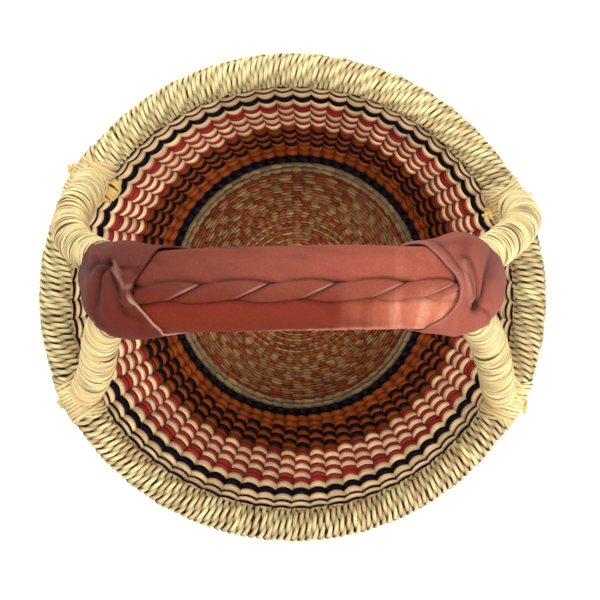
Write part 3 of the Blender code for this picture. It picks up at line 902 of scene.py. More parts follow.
def leather_material(name, deep, light, shade, scuff_and_highlight):
    """Dyed goatskin, lighter towards the right, which is painted light from the lamp there, and in real
    patches of wear; on its far side a purplish tone of painted sheen, which painted light also makes brighter
    to the right; painted shade in its creases; pale cut edges.
    """
    if found := bpy.data.materials.get(name):
        return found
    material, tree, surface = new_material(name, 0.10)
    place_at = tree.add("ShaderNodeTexCoord")["Object"]
    along = tree.first("ShaderNodeSeparateXYZ", {0: place_at})
    broad = tree.noise(place_at, 30.0, 6.0, 0.62)
    band_place = tree.vector("MULTIPLY", place_at, WEAR_BANDS)
    bands = tree.math("MULTIPLY", tree.noise(band_place, 1.0, 2.0), 0.55)
    # Painted light: the leather grows lighter towards +X, where the lamp lights it; the bands are its own
    # patches of wear
    drift = tree.math("ADD", tree.math("MULTIPLY", along, 8.5), bands)
    # polished: a painted highlight along the grip's lower front edge
    drift = tree.math("ADD", drift, tree.attribute("polished"))
    lit_and_rubbed = tree.remap(drift, 0.50, 0.98, interpolation_type="SMOOTHSTEP")
    dye = tree.blend(lit_and_rubbed, deep, light)
    # Pale scuffs, shown only where the painted light is: partly a painted highlight
    pale = tree.remap(tree.noise(band_place, 2.3, 3.0), 0.42, 0.74, 0.0, scuff_and_highlight)
    near_side = tree.blend(tree.math("MULTIPLY", pale, lit_and_rubbed), dye, SCUFF_AND_HIGHLIGHT_COLOUR)
    # Painted sheen on the far side: the back and top take the purplish colour, darker to the left and
    # brighter to the right as painted light; the broad noise mottles where it begins
    far_side = tree.scale(tuple(shade), tree.remap(along, -0.06, 0.06, 0.70, 1.42))
    turned = tree.remap(tree.math("ADD", broad, tree.attribute("worn")), 0.55, 1.30)
    panel = tree.blend(turned, near_side, far_side)
    grain_values = {"Place": place_at, "Scale": LEATHER_GRAIN}
    grain = tree.add("ShaderNodeGroup", grain_values, node_tree=leather_grain_group())
    speck = tree.remap(grain["Speckle"], 0.32, 0.68, 0.90, 1.08)
    # Painted shade in creases: beside the seam, under its lobes, in the cuffs' folds and tuck holes, and
    # inside the cuffs
    shadow = tree.remap(tree.attribute("crease"), 0.0, 1.0, 1.0, 0.16)
    skin = tree.scale(panel, tree.math("MULTIPLY", speck, shadow))
    tree.feed(surface["Base Color"], tree.blend(tree.attribute("cut"), skin, RAW_EDGE_COLOUR))
    tree.feed(surface["Roughness"], tree.remap(broad, 0.0, 1.0, 0.48, 0.70))
    dents = tree.math("ADD", grain["Height"], tree.math("MULTIPLY", broad, 6.0))
    tree.feed(surface["Normal"], tree.relief(dents, 0.45, LEATHER_RELIEF))
    return material


# Body

# A stitch of unit pitch, course and swell: how far its ends reach, how fast they thin, and half its
# height and depth
STITCH_REACH = 0.60
STITCH_TAPER = 0.94
STITCH_HALF_HEIGHT = 0.53
STITCH_HALF_DEPTH = 0.42


def new_stitch(name, segments, sides, slant, side_shade, end_shade):
    """One stitch of unit pitch, course and swell: a flattened strand that rises over its stake.

    Its ends tuck behind the neighbours. It carries the UV map lay and the attribute crest, which falls off by
    side_shade down its sides and by end_shade along to its ends: the grass material darkens the stitch by it,
    as painted shade.
    """
    vertices, crests = [], []
    for i in range(segments + 1):
        t = 2 * i / segments - 1
        x = t * STITCH_REACH
        taper = math.sqrt(max(0.0, 1 - (STITCH_TAPER * t) ** 4))
        for j in range(sides):
            phi = math.tau * (j + 0.5) / sides
            vertices.append(Vector((
                x,
                slant * x + STITCH_HALF_HEIGHT * taper * math.cos(phi),
                math.cos(math.pi * x) + STITCH_HALF_DEPTH * taper * math.sin(phi),
            )))
            lift = (1 - side_shade + side_shade * math.sin(phi)) * (1 - end_shade + end_shade * math.cos(math.pi * x))
            crests.append(max(0.0, min(1.0, lift)))
    faces = []
    for i in range(segments):
        for j in range(sides):
            k = (j + 1) % sides
            faces.append((i * sides + j, i * sides + k, (i + 1) * sides + k, (i + 1) * sides + j))
    faces.append(tuple(range(sides))[::-1])
    faces.append(tuple(segments * sides + j for j in range(sides)))
    obj = link_mesh(name, vertices, faces)
    bm = bmesh.new()
    bm.from_mesh(obj.data)
    bmesh.ops.recalc_face_normals(bm, faces=bm.faces)
    bm.to_mesh(obj.data)
    bm.free()
    add_attribute(obj.data, "crest", "FLOAT", crests)
    layer = obj.data.uv_layers.new(name="lay")
    for polygon in obj.data.polygons:
        for loop in polygon.loop_indices:
            vertex = obj.data.loops[loop].vertex_index
            layer.data[loop].uv = (vertex // sides / segments, vertex % sides / sides)
    return obj


def lay_stitches(name, stitches, stitch, unevenness, seed):
    """A mesh of stitches from (centre, face out, run along, size, dye) rows."""
    points = link_mesh(f"{name}_points", [s[0] for s in stitches], [])
    for column, label in ((1, "face_out"), (2, "run_along"), (3, "stitch_size")):
        add_attribute(points.data, label, "FLOAT_VECTOR", [s[column] for s in stitches])
    add_attribute(points.data, "dye", "FLOAT_COLOR", [(*s[4], 1.0) for s in stitches])
    inputs = {"Stitch": stitch, "Unevenness": unevenness, "Seed": seed, "Grass": twined_grass()}
    return grown(points, laid_stitches_tree(), inputs, name)


# How tall a stitch of each dye stands where a row has two dyes
HEIGHT_BY_DYE = {"natural": 1.12, "red": 0.94, "orange": 1.06, "black": 0.98, "rust": 1.0, "floor": 1.0}
LEAST_SWELL = 0.0003


def pressed_flat(room):
    """The most a stitch may swell with so much room between its foot and the ground."""
    return max(LEAST_SWELL, room / 2.5)


def wall_stitches(body, dyes, line, start, rows, course, first, second, first_row):
    """The stitches of a run of rows, on both faces of the wall."""
    stitches = []
    top = line[-1][1]
    for row in range(rows):
        radius, height, normal_out, normal_up = wall_place(line, start + (row + 0.5) * course)
        for column in range(body.stakes):
            theta = math.tau * (column + 0.5) / body.stakes
            outward, run = compass(theta)
            r = radius * oval(body, theta, height / top)
            centre = outward * r + Vector((0, 0, height))
            normal = outward * normal_out + Vector((0, 0, normal_up))
            upward = outward * -normal_up + Vector((0, 0, normal_out))
            pitch = math.tau * r / body.stakes
            for face in (-1, 1):
                even = (first_row + row + column + (face > 0)) % 2 == 0
                dye = first if even else second
                tall = HEIGHT_BY_DYE[dye] if first != second else 1.0
                swell = body.bulge
                if face > 0 and normal_up < 0:
                    swell = min(swell, pressed_flat(height / -normal_up - body.wall_depth))
                stitches.append((
                    centre + normal * face * body.wall_depth,
                    (normal * face + upward * body.shingle).normalized(),
                    run,
                    (pitch, course * tall, swell),
                    tuple(getattr(dyes, dye)),
                ))
    return stitches


def wall_backing(body, line, start, end, levels):
    """A closed ring without gaps behind the stitches, in the place of the stakes' layer, coloured near black
    as painted shade seen between them.
    """
    top = line[-1][1]
    rings = []
    for face in (1, -1):
        places = [start + (end - start) * i / (levels - 1) for i in range(levels)]
        for length in places[::face]:
            radius, height, normal_out, normal_up = wall_place(line, length)
            ring = []
            for i in range(body.stakes):
                theta = math.tau * i / body.stakes
                r = radius * oval(body, theta, height / top) + face * body.wall_depth * normal_out
                level = height + face * body.wall_depth * normal_up
                ring.append((r * math.cos(theta), r * math.sin(theta), level))
            rings.append(ring)
    return link_skin("backing", rings, shade_and_core_grass("warp_grass"))


class BASKET_OT_wall(bpy.types.Operator):
    """Twine the wall's bands, course by course, inside and outside"""

    bl_idname = "basket.wall"
    bl_label = "Wall"

    def execute(self, context):
        body, _, _, dyes, _ = settings()
        line = wall_line(body)
        course = line[-1][2] / sum(rows * height for _, rows, height, _, _ in WALL_RUNS)
        stitch = new_stitch("wall_stitch", 8, 6, -0.24, 0.80, 0.24)
        bands = {}
        start = 0.0
        row = 0
        for band, rows, height, first, second in WALL_RUNS:
            made = bands.setdefault(band, {"start": start, "stitches": []})
            made["stitches"] += wall_stitches(
                body, dyes, line, start, rows, course * height, first, second, row
            )
            start += rows * height * course
            made["end"] = start
            row += rows
        for number, (band, made) in enumerate(bands.items()):
            laid = lay_stitches(f"{band}_stitches", made["stitches"], stitch, body.unevenness, number)
            levels = max(2, round((made["end"] - made["start"]) / course) + 1)
            back = wall_backing(body, line, made["start"], made["end"], levels)
            place(joined(f"twined_{band}", [laid, back]), WALL_SLOTS[band], band)
        bpy.data.objects.remove(stitch)
        return {"FINISHED"}


# Rings of the floor from the border in: piece, outer radius as a share of the floor's, rows, stakes,
# rows in one block, the two dyes
FLOOR_RUNS = (
    ("floor_border", 1.000, 2, 72, 1, "floor", "floor"),
    ("floor_check_weave", 0.925, 1, 60, 1, "rust", "rust"),
    ("floor_check_weave", 0.905, 15, 60, 3, "floor", "rust"),
    ("floor_check_weave", 0.560, 4, 60, 1, "rust", "floor"),
    ("floor_centre", 0.470, 6, 36, 1, "rust", "floor"),
    ("floor_centre", 0.330, 6, 36, 3, "rust", "floor"),
    ("floor_centre", 0.200, 5, 18, 1, "floor", "floor"),
    ("floor_centre", 0.090, 4, 9, 1, "floor", "floor"),
)
FLOOR_MIDDLE_SHARE = 0.012
# Each piece of the floor: its slot, and its outer and inner radius as shares of the floor's
FLOOR_PIECES = {
    "floor_border": ("floor_straw", 1.0, 0.925),
    "floor_check_weave": ("orange_straw", 0.925, 0.470),
    "floor_centre": ("floor_straw", 0.470, FLOOR_MIDDLE_SHARE / 2),
}
# The most a stitch of each dye fades into the other dye, the least in the outer rows of a block, and
# how tall it is where the two dyes take turns row by row
FADING = {"rust": 0.45, "floor": 0.95}
BLOCK_EDGE_FADING = 0.45
LINED_HEIGHT = {"rust": 1.3, "floor": 0.7}
# How much darker a stitch of the border is in all, at random between two shares: partly painted shade at the
# foot of the wall, partly its own mottled tone; and then how much more of its blue it keeps
BORDER_SHADE_AND_MOTTLE = (0.60, 0.86)
BORDER_BLUE = 1.25
# How much longer and taller a floor stitch is than its place, and how far its row is turned
FLOOR_OVERLAPS = (1.14, 1.10)
FLOOR_STRAY = 0.16


def floor_height(body, radius):
    """The height of the floor's middle layer: level at the border, domed within."""
    inner = max(0.0, 1 - radius / body.floor_radius)
    return body.floor_thickness / 2 + body.floor_dome * min(1.0, inner * 2)


def floor_stitches(body, dyes, chance, run, inner):
    """The stitches of one entry of FLOOR_RUNS, whose inner radius is a share of the floor's."""
    band, outer, rows, stakes, block, first, second = run
    width = body.floor_radius * (outer - inner) / rows
    lined = block == 1 and first != second
    stitches = []
    for row in range(rows):
        radius = body.floor_radius * outer - (row + 0.5) * width
        middle = floor_height(body, radius)
        strayed = FLOOR_STRAY * math.sin(row * 2.4)
        block_edge = block == 3 and row % 3 != 1
        for column in range(stakes):
            outward, along = compass(math.tau * (column + strayed) / stakes)
            for face in (1, -1):
                which = row if lined else row // block + column + (face < 0)
                dye, other = (first, second) if which % 2 == 0 else (second, first)
                tall = LINED_HEIGHT[dye] if lined else 1.0
                faded = chance.random() ** 2 * FADING[dye]
                if block_edge and dye == "floor":
                    faded = max(faded, BLOCK_EDGE_FADING)
                colour_of = Vector(getattr(dyes, dye)).lerp(Vector(getattr(dyes, other)), faded)
                if band == "floor_border":
                    # Painted shade at the foot of the wall, mixed with the border's own mottled tone
                    colour_of *= chance.uniform(*BORDER_SHADE_AND_MOTTLE)
                    colour_of.z *= BORDER_BLUE
                up = Vector((0, 0, face))
                swell = body.floor_bulge
                if face < 0:
                    swell = min(swell, pressed_flat(middle - body.floor_depth))
                length = math.tau * radius / stakes * FLOOR_OVERLAPS[0]
                stitches.append((
                    outward * radius + Vector((0, 0, middle)) + up * body.floor_depth,
                    up,
                    along,
                    (length, width * FLOOR_OVERLAPS[1] * tall, swell),
                    tuple(colour_of),
                ))
    return stitches


def floor_backing(body, outer, inner):
    """A closed flat ring behind the stitches of the floor, in the place of the stakes' layer, coloured dark
    as painted shade seen between them.
    """
    rings = []
    for radius, side in ((outer, -1), (inner, -1), (inner, 1), (outer, 1)):
        level = floor_height(body, radius) + side * body.floor_depth
        angles = [math.tau * i / 72 for i in range(72)]
        rings.append([(radius * math.cos(angle), radius * math.sin(angle), level) for angle in angles])
    return link_skin("backing", rings, shade_and_core_grass("floor_warp"))


class BASKET_OT_floor(bpy.types.Operator):
    """Twine the floor's rings: natural border, small checks, fine rings and the woven start"""

    bl_idname = "basket.floor"
    bl_label = "Floor"

    def execute(self, context):
        body, _, _, dyes, _ = settings()
        stitch = new_stitch("floor_stitch", 6, 6, -0.15, 0.62, 0.42)
        border_stitch = new_stitch("border_stitch", 6, 6, -0.15, 0.34, 0.22)
        chance = random.Random("floor")
        inner_edges = [run[1] for run in FLOOR_RUNS[1:]] + [FLOOR_MIDDLE_SHARE]
        bands = {}
        for run, inner in zip(FLOOR_RUNS, inner_edges):
            bands.setdefault(run[0], []).extend(floor_stitches(body, dyes, chance, run, inner))
        for number, (band, stitches) in enumerate(bands.items()):
            slot, outer, inner = FLOOR_PIECES[band]
            shape = border_stitch if band == "floor_border" else stitch
            laid = lay_stitches(f"{band}_stitches", stitches, shape, body.floor_unevenness, 20 + number)
            back = floor_backing(body, body.floor_radius * outer, body.floor_radius * inner)
            place(joined(f"twined_{band}", [laid, back]), slot, band)
        bpy.data.objects.remove(stitch)
        bpy.data.objects.remove(border_stitch)
        return {"FINISHED"}


# Bindings


class Strands:
    """Straws laid along paths, gathered and then swept in one go."""

    def __init__(self):
        self.points, self.edges = [], []

    def add(self, path):
        """One more path of rows: place, normal, swell, and crest, which is 0 down in a gap, where the straw
        is painted in shade.
        """
        start = len(self.points)
        self.edges += [(start + i, start + i + 1) for i in range(len(path) - 1)]
        self.points += path

    def sweep(self, name, width, thickness, sides, material):
        places, normals, swells, crests = zip(*self.points)
        mesh = bpy.data.meshes.new(name)
        mesh.from_pydata([tuple(p) for p in places], self.edges, [])
        add_attribute(mesh, "face_out", "FLOAT_VECTOR", normals)
        add_attribute(mesh, "swell", "FLOAT", swells)
        add_attribute(mesh, "crest", "FLOAT", crests)
        inputs = {"Width": width, "Thickness": thickness, "Sides": sides, "Straw": material}
        return grown(link_object(name, mesh), bound_strand_tree(), inputs, name)


# The side of the rim, as an angle round it, where the cord lies closest
RIM_CROWD_ANGLE = math.radians(75)
RIM_POINTS = 20
# Width and thickness of one strand of the cord, in radii of it
RIM_SECTION = (2.15, 1.75)


class BASKET_OT_rim(bpy.types.Operator):
    """Bind the rim with two-ply cord, and finish the core inside it"""

    bl_idname = "basket.rim"
    bl_label = "Rim"

    def execute(self, context):
        body, binding, _, dyes, _ = settings()
        roll_radius = (RIM_HIGH.z - RIM_LOW.z) / 2 - binding.rim_ply - binding.rim_strand + GAP
        pitch = math.tau * body.rim_radius / binding.rim_wraps
        strands = Strands()
        for ply in range(2):
            path = []
            for i in range(binding.rim_wraps * RIM_POINTS + 1):
                turn = i / RIM_POINTS
                psi = math.tau * turn
                drift = waver(turn * 0.37, 0.0, 3.0)
                loose = waver(turn * 1.7, 5.0, 0.0)
                whole = math.tau * (turn + 0.25 * drift) / binding.rim_wraps
                theta = whole - binding.rim_crowding * math.sin(whole - RIM_CROWD_ANGLE)
                theta += 0.45 * pitch / body.rim_radius * math.sin(psi + 0.4 * loose)
                centre, outward = rim_centre(body, theta)
                away = outward * math.cos(psi) + Vector((0, 0, math.sin(psi)))
                tangent = Vector((-outward.y, outward.x, 0))
                lay = math.tau * binding.rim_twists * turn + math.pi * ply + 1.2 * drift
                radius = roll_radius + 0.0005 * loose + binding.rim_ply * math.cos(lay)
                place_of = centre + away * radius + tangent * binding.rim_ply * math.sin(lay)
                swell = 1 + 0.22 * waver(turn * 2.1, ply * 4.0, 9.0)
                # The last value is crest: painted shade where a ply dips under the other
                path.append((place_of, away, swell, 0.55 + 0.45 * math.cos(lay)))
            strands.add(path)
        wide, thick = (part * binding.rim_strand for part in RIM_SECTION)
        piece = strands.sweep("rim_cord_binding", wide, thick, 8, bound_straw("rim_cord", dyes))
        place(piece, "rim_straw", "rim_binding")
        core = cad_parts["rim_core"]
        # The core takes the near-black warp shade: painted shade where the cord gapes
        core.data.materials.clear()
        core.data.materials.append(shade_and_core_grass("warp_grass"))
        return {"FINISHED"}


LEG_POINTS = 20
# Where a leg's straw starts under the cuff and ends at the rim, on the handle's line
LEG_TOP_SHARE = 0.470
FOOT_STOP_SHARE = 0.985
# Lengths: how far the turns slip along a leg, how uneven they lie, how much an overlapping group
# stands out, how deep the straw is sunk, and how much deeper under the cuff
LEG_SLIP = 0.0011
LEG_UNEVENNESS = 0.0006
LEG_GROUP_RISE = 0.0006
LEG_SUNK = 0.0012
UNDER_CUFF_SUNK = 0.0006
# Width and thickness of a leg's straw, as shares of the room of one turn
LEG_SECTION = (1.06, 1.6)


def leg_frames(body, handle, side_x, side_y, start, end, count):
    """Centre, sideways, outward and length so far along a leg, from the cuff down to the rim."""
    sideways = Vector((0, 1, 0))
    frames = []
    length = 0.0
    for i in range(count):
        u = start + (end - start) * i / (count - 1)
        centre, along = handle_place(body, handle, side_x * u, side_y)
        sideways = square_to(along, sideways)
        if frames:
            length += (centre - frames[-1][0]).length
        frames.append((centre, sideways, along.cross(sideways), length))
    return frames


def frame_at(frames, length):
    """The frame at a length along a leg, between the two nearest."""
    i = 0
    while i < len(frames) - 2 and frames[i + 1][3] < length:
        i += 1
    a, b = frames[i], frames[i + 1]
    at = (length - a[3]) / (b[3] - a[3])
    return [a[k].lerp(b[k], at) for k in range(3)]


class BASKET_OT_legs(bpy.types.Operator):
    """Bind the four legs with fine straw, turn beside turn, some slipped over their neighbours"""

    bl_idname = "basket.legs"
    bl_label = "Legs"

    def execute(self, context):
        body, binding, handle, dyes, _ = settings()
        straw = bound_straw("leg_straw_binding", dyes)
        wide, thick = binding.leg_wrap * LEG_SECTION[0], binding.leg_straw * LEG_SECTION[1]
        for name, side_x, side_y in LEGS:
            frames = leg_frames(body, handle, side_x, side_y, LEG_TOP_SHARE, FOOT_STOP_SHARE, 40)
            whole = frames[-1][3]
            turns = whole / binding.leg_wrap
            kind = leg_number(side_x, side_y) * 17.0
            path = []
            for i in range(int(turns * LEG_POINTS)):
                turn = i / LEG_POINTS
                phi = math.tau * turn
                slip = waver(turn * 0.55, kind, 0.0)
                cross = waver(turn * 2.7, kind, 1.0)
                length = turn * binding.leg_wrap + LEG_SLIP * slip + binding.leg_cross * cross
                length = min(max(length, 0.0), whole)
                centre, sideways, outward = frame_at(frames, length)
                away = sideways * math.cos(phi) + outward * math.sin(phi)
                along = sideways.cross(outward)
                lift = 0.5 * waver(turn * 1.37, kind, 3.0)
                lift += 0.7 * waver(turn * 4.9, kind, 4.0)
                group = length / binding.leg_step + 0.35 * waver(turn * 0.11, kind, 7.0)
                step = 1 - group % 1.0
                under_cuff = 1 - smooth_step(0.010, 0.024, length)
                radius = handle.leg_radius - binding.leg_straw + LEG_UNEVENNESS * lift
                radius += LEG_GROUP_RISE * step
                radius -= LEG_SUNK + UNDER_CUFF_SUNK * under_cuff
                tilt = 0.11 * side_x * side_y + 0.22 * waver(turn * 0.16, kind, 5.0)
                tilt += 0.06 * waver(turn * 1.1, kind, 9.0)
                tip = tilt * math.sin(phi + 0.8) * handle.leg_radius * 2
                swell = 1.04 + 0.50 * waver(turn * 1.9, kind, 5.0)
                # crest: painted shade where a turn lies lower
                crest = 0.74 + 0.10 * step + 1.5 * lift
                path.append((centre + away * radius + along * tip, away, swell, crest))
            strands = Strands()
            strands.add(path)
            piece = strands.sweep(f"leg_straw_{name}", wide, thick, 8, straw)
            place(piece, "leg_straw", f"leg_binding_{name}")
        for name_y, side_y in (("front", -1), ("back", 1)):
            path = []
            for i in range(121):
                centre, along = handle_place(body, handle, 0.99 * (i / 60 - 1), side_y)
                path.append((centre, square_to(along, Vector((0, 1, 0))), 1.0, 1.0))
            strands = Strands()
            strands.add(path)
            width = 2 * (handle.core_radius - LEG_SUNK)
            core = strands.sweep(f"grass_core_{name_y}", width, width, 20, shade_and_core_grass("core_grass"))
            place(core, "core_grass", f"handle_core_{name_y}")
        return {"FINISHED"}


LASHING_POINTS = 26
# How steeply each of the three straws of a lashing crosses the rim, and its width and thickness
LASHING_SLANTS = (0.26, -0.26, 0.08)
LASHING_SECTION = (0.0025, 0.0012)


class BASKET_OT_lashings(bpy.types.Operator):
    """Lash each leg to the rim with straw that crosses over itself"""

    bl_idname = "basket.lashings"
    bl_label = "Lashings"

    def execute(self, context):
        body, binding, handle, dyes, _ = settings()
        straw = bound_straw("lashing_straw", dyes)
        base_radius = (RIM_HIGH.z - RIM_LOW.z) / 2 + 0.0002
        for name, side_x, side_y in LEGS:
            foot = foot_angle(handle, side_x, side_y)
            strands = Strands()
            for layer, slant in enumerate(LASHING_SLANTS):
                path = []
                for i in range(binding.foot_wraps * LASHING_POINTS + 1):
                    turn = i / LASHING_POINTS
                    psi = math.tau * turn + layer * 2.0
                    share_of = turn / binding.foot_wraps * 2 - 1
                    loose = waver(turn * 1.6, layer * 5.0, side_x + side_y * 3.0)
                    along = binding.foot_reach * share_of + slant * base_radius * math.cos(psi) * 2
                    along += 0.0012 * loose
                    centre, outward = rim_centre(body, foot + along / body.rim_radius)
                    away = outward * math.cos(psi) + Vector((0, 0, math.sin(psi)))
                    radius = base_radius + 0.0005 * layer + 0.0005 * loose - 0.0004
                    # The last value is crest: painted shade where a loose turn lies lower
                    path.append((centre + away * radius, away, 1 + 0.35 * loose, 0.70 + 0.5 * loose))
                strands.add(path)
            piece = strands.sweep(f"lashing_straw_{name}", *LASHING_SECTION, 8, straw)
            place(piece, "leg_straw", f"foot_lashing_{name}")
        return {"FINISHED"}


# Shares of the knot tuck and the knot girth, and the lean of the one knot that stands clear of its
# lashing. The others lean by chance.
PROUD_KNOT = "inner_knot_back_left"
PROUD_SHAPE = (0.6, 1.9, 1.25)
PLAIN_SHAPE = (1.5, 1)
KNOT_SECTION = (0.0019, 0.0011)
KNOT_TURNS = 13


class BASKET_OT_knots(bpy.types.Operator):
    """Tie off each lashing inside and outside the rim, with frayed straw ends"""

    bl_idname = "basket.knots"
    bl_label = "Knots"

    def execute(self, context):
        _, binding, _, dyes, _ = settings()
        straw = bound_straw("knot_straw", dyes)
        for name, _, _ in LEGS:
            for where, way in (("outer", 1), ("inner", -1)):
                node = f"{where}_knot_{name}"
                low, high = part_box(node)
                middle = (low + high) / 2
                chance = random.Random(node)
                shape = PROUD_SHAPE if node == PROUD_KNOT else (*PLAIN_SHAPE, chance.uniform(-0.7, 0.7))
                tuck, girth, lean = shape
                outward = Vector((middle.x, middle.y, 0)).normalized() * way
                middle -= outward * binding.knot_tuck * tuck
                strands = Strands()
                tie_loops(strands, middle, outward, chance, binding.knot_girth * girth, lean)
                fray_ends(strands, middle, outward, random.Random(node + " ends"), binding.fray)
                piece = strands.sweep(f"tied_{node}", *KNOT_SECTION, 8, straw)
                place(piece, "knot_straw", node)
        return {"FINISHED"}


def tie_loops(strands, middle, outward, chance, girth, lean):
    """Turns of straw wound tight round a small bundle, which leans from upright to along the rim."""
    across = outward.cross(Vector((0, 0, 1))).normalized()
    spine = (Vector((0, 0, 1)) * math.cos(lean) + across * math.sin(lean)).normalized()
    aside = spine.cross(outward).normalized()
    for k in range(KNOT_TURNS):
        at = 1.05 * (2 * k / (KNOT_TURNS - 1) - 1)
        wide = girth * math.sqrt(1.12 - at * at) * chance.uniform(0.92, 1.08)
        slope = chance.uniform(-0.35, 0.35)
        crest = chance.uniform(0.6, 1.0)
        path = []
        for i in range(17):
            phi = math.tau * i / 16
            away = aside * math.cos(phi) * wide * 1.1 + outward * math.sin(phi) * wide
            away += spine * slope * wide * math.cos(phi)
            path.append((middle + spine * at * girth * 1.3 + away, away.normalized(), 1.0, crest))
        strands.add(path)


def fray_ends(strands, middle, outward, chance, reach):
    """Short straw ends that come out of a knot, bending as they go and thinning to a tip."""
    across = outward.cross(Vector((0, 0, 1))).normalized()
    for k in range(6):
        fan = chance.uniform(-1.1, 1.1)
        way = (outward * 0.7 + across * fan + Vector((0, 0, 1)) * chance.uniform(-0.6, 0.3)).normalized()
        bend = Vector([chance.uniform(-0.5, 0.5) for _ in range(3)])
        length = chance.uniform(0.6, 1.0) * reach
        path = []
        for i in range(7):
            at = i / 6
            place_of = middle + (way * at + bend * at * at * 0.5) * length
            path.append((place_of, Vector((0, 0, 1)), 0.95 - 0.65 * at, 0.95))
        strands.add(path)


# Leather

# Places on the handle's line round each cuff, with degrees from the back side over the top to the
# front and round underneath: its free edge on the grip, and its mouth where the legs come out
CUFF_EDGES = {
    "left": (
        (-90, 0.220), (-30, 0.235), (-8, 0.272), (6, 0.298), (20, 0.304), (44, 0.312), (63, 0.326),
        (76, 0.342), (85, 0.353), (91, 0.354), (99, 0.341), (112, 0.325), (130, 0.311), (148, 0.301),
        (165, 0.302), (180, 0.288), (200, 0.245), (270, 0.220),
    ),
    "right": (
        (-90, 0.240), (-25, 0.262), (-3, 0.290), (12, 0.306), (36, 0.317), (62, 0.341), (80, 0.371),
        (92, 0.384), (104, 0.377), (123, 0.355), (143, 0.325), (162, 0.316), (180, 0.303), (204, 0.265),
        (270, 0.240),
    ),
}
CUFF_MOUTHS = {
    "left": (
        (-90, 0.560), (-30, 0.545), (0, 0.555), (25, 0.590), (52, 0.638), (78, 0.652), (90, 0.640),
        (106, 0.580), (130, 0.520), (158, 0.475), (185, 0.460), (225, 0.520), (270, 0.560),
    ),
    "right": (
        (-90, 0.560), (-30, 0.500), (0, 0.505), (22, 0.535), (48, 0.590), (75, 0.652), (88, 0.650),
        (106, 0.585), (130, 0.525), (158, 0.478), (185, 0.465), (225, 0.520), (270, 0.560),
    ),
}
# Where each cuff is tucked into itself: place on the handle's line and degrees round it; the folds
# fan out from there between two directions in degrees, so many of them
CUFF_TUCKS = {"left": (0.426, 57, -30, 175, 7), "right": (0.443, 103, -150, 20, 5)}
# The raised strap that runs from each tuck: place and degrees of its points
CUFF_STRAPS = {
    "left": ((0.418, 58), (0.402, 70), (0.392, 82), (0.378, 92), (0.352, 91)),
    "right": ((0.440, 100), (0.424, 92), (0.408, 78), (0.398, 64)),
}
# How far each cuff puffs out at the back
CUFF_PUFFS = {"left": 0.0026, "right": 0.0048}
# How square the leather's section is: 2 is round
SQUARENESS = 2.5
# Metres of leather per radian round the handle, and per unit of u along it at the cuffs
ARC_PER_RADIAN = 0.0215
LENGTH_PER_U = 0.19


def edge_share(table, phi):
    """The place of a cuff's free edge at phi, on a smooth curve through its table."""
    degrees = math.degrees(phi)
    degrees = (degrees + 90) % 360 - 90
    i = 0
    while i < len(table) - 2 and table[i + 1][0] <= degrees:
        i += 1
    (a, low), (b, high) = table[i], table[i + 1]
    at = (degrees - a) / (b - a)
    before = table[i - 1][1] if i > 0 else table[-2][1]
    after = table[i + 2][1] if i + 2 < len(table) else table[1][1]
    return catmull_rom(before, low, high, after, at)


def length_along(body, handle, u):
    """The length of the handle's line from the grip's middle to u."""
    count = 24
    points = [handle_point(body, handle, u * i / count) for i in range(count + 1)]
    return sum((b - a).length for a, b in zip(points, points[1:]))


def signed_length(body, handle, u):
    """The length from the grip's middle to u, below 0 on the left side."""
    return math.copysign(length_along(body, handle, abs(u)), u)


def squared(value):
    """A sine or a cosine pushed outwards, for a squarer section."""
    return math.copysign(abs(value) ** (2 / SQUARENESS), value)


def leather_point(body, handle, u, phi, radius, lift=0.0):
    """A point of the leather round both cores: phi is 0 at the back and a right angle on top."""
    centre, sideways, outward = handle_frame(body, handle, u)
    wide = half_spread(body, handle, u) + radius
    cos_phi, sin_phi = math.cos(phi), math.sin(phi)
    away = (sideways * cos_phi * radius + outward * sin_phi * wide).normalized()
    return centre + sideways * squared(cos_phi) * wide + outward * squared(sin_phi) * radius + away * lift


COVER_RINGS = 230
COVER_SIDES = 84
# Where the cover ends under the cuffs, on the handle's line
COVER_REACH_SHARE = 0.44
# A painted highlight along the cover's lower front edge, where it catches the light: its middle in degrees
# round it, and how wide
LIT_EDGE_BAND = (172, 13)


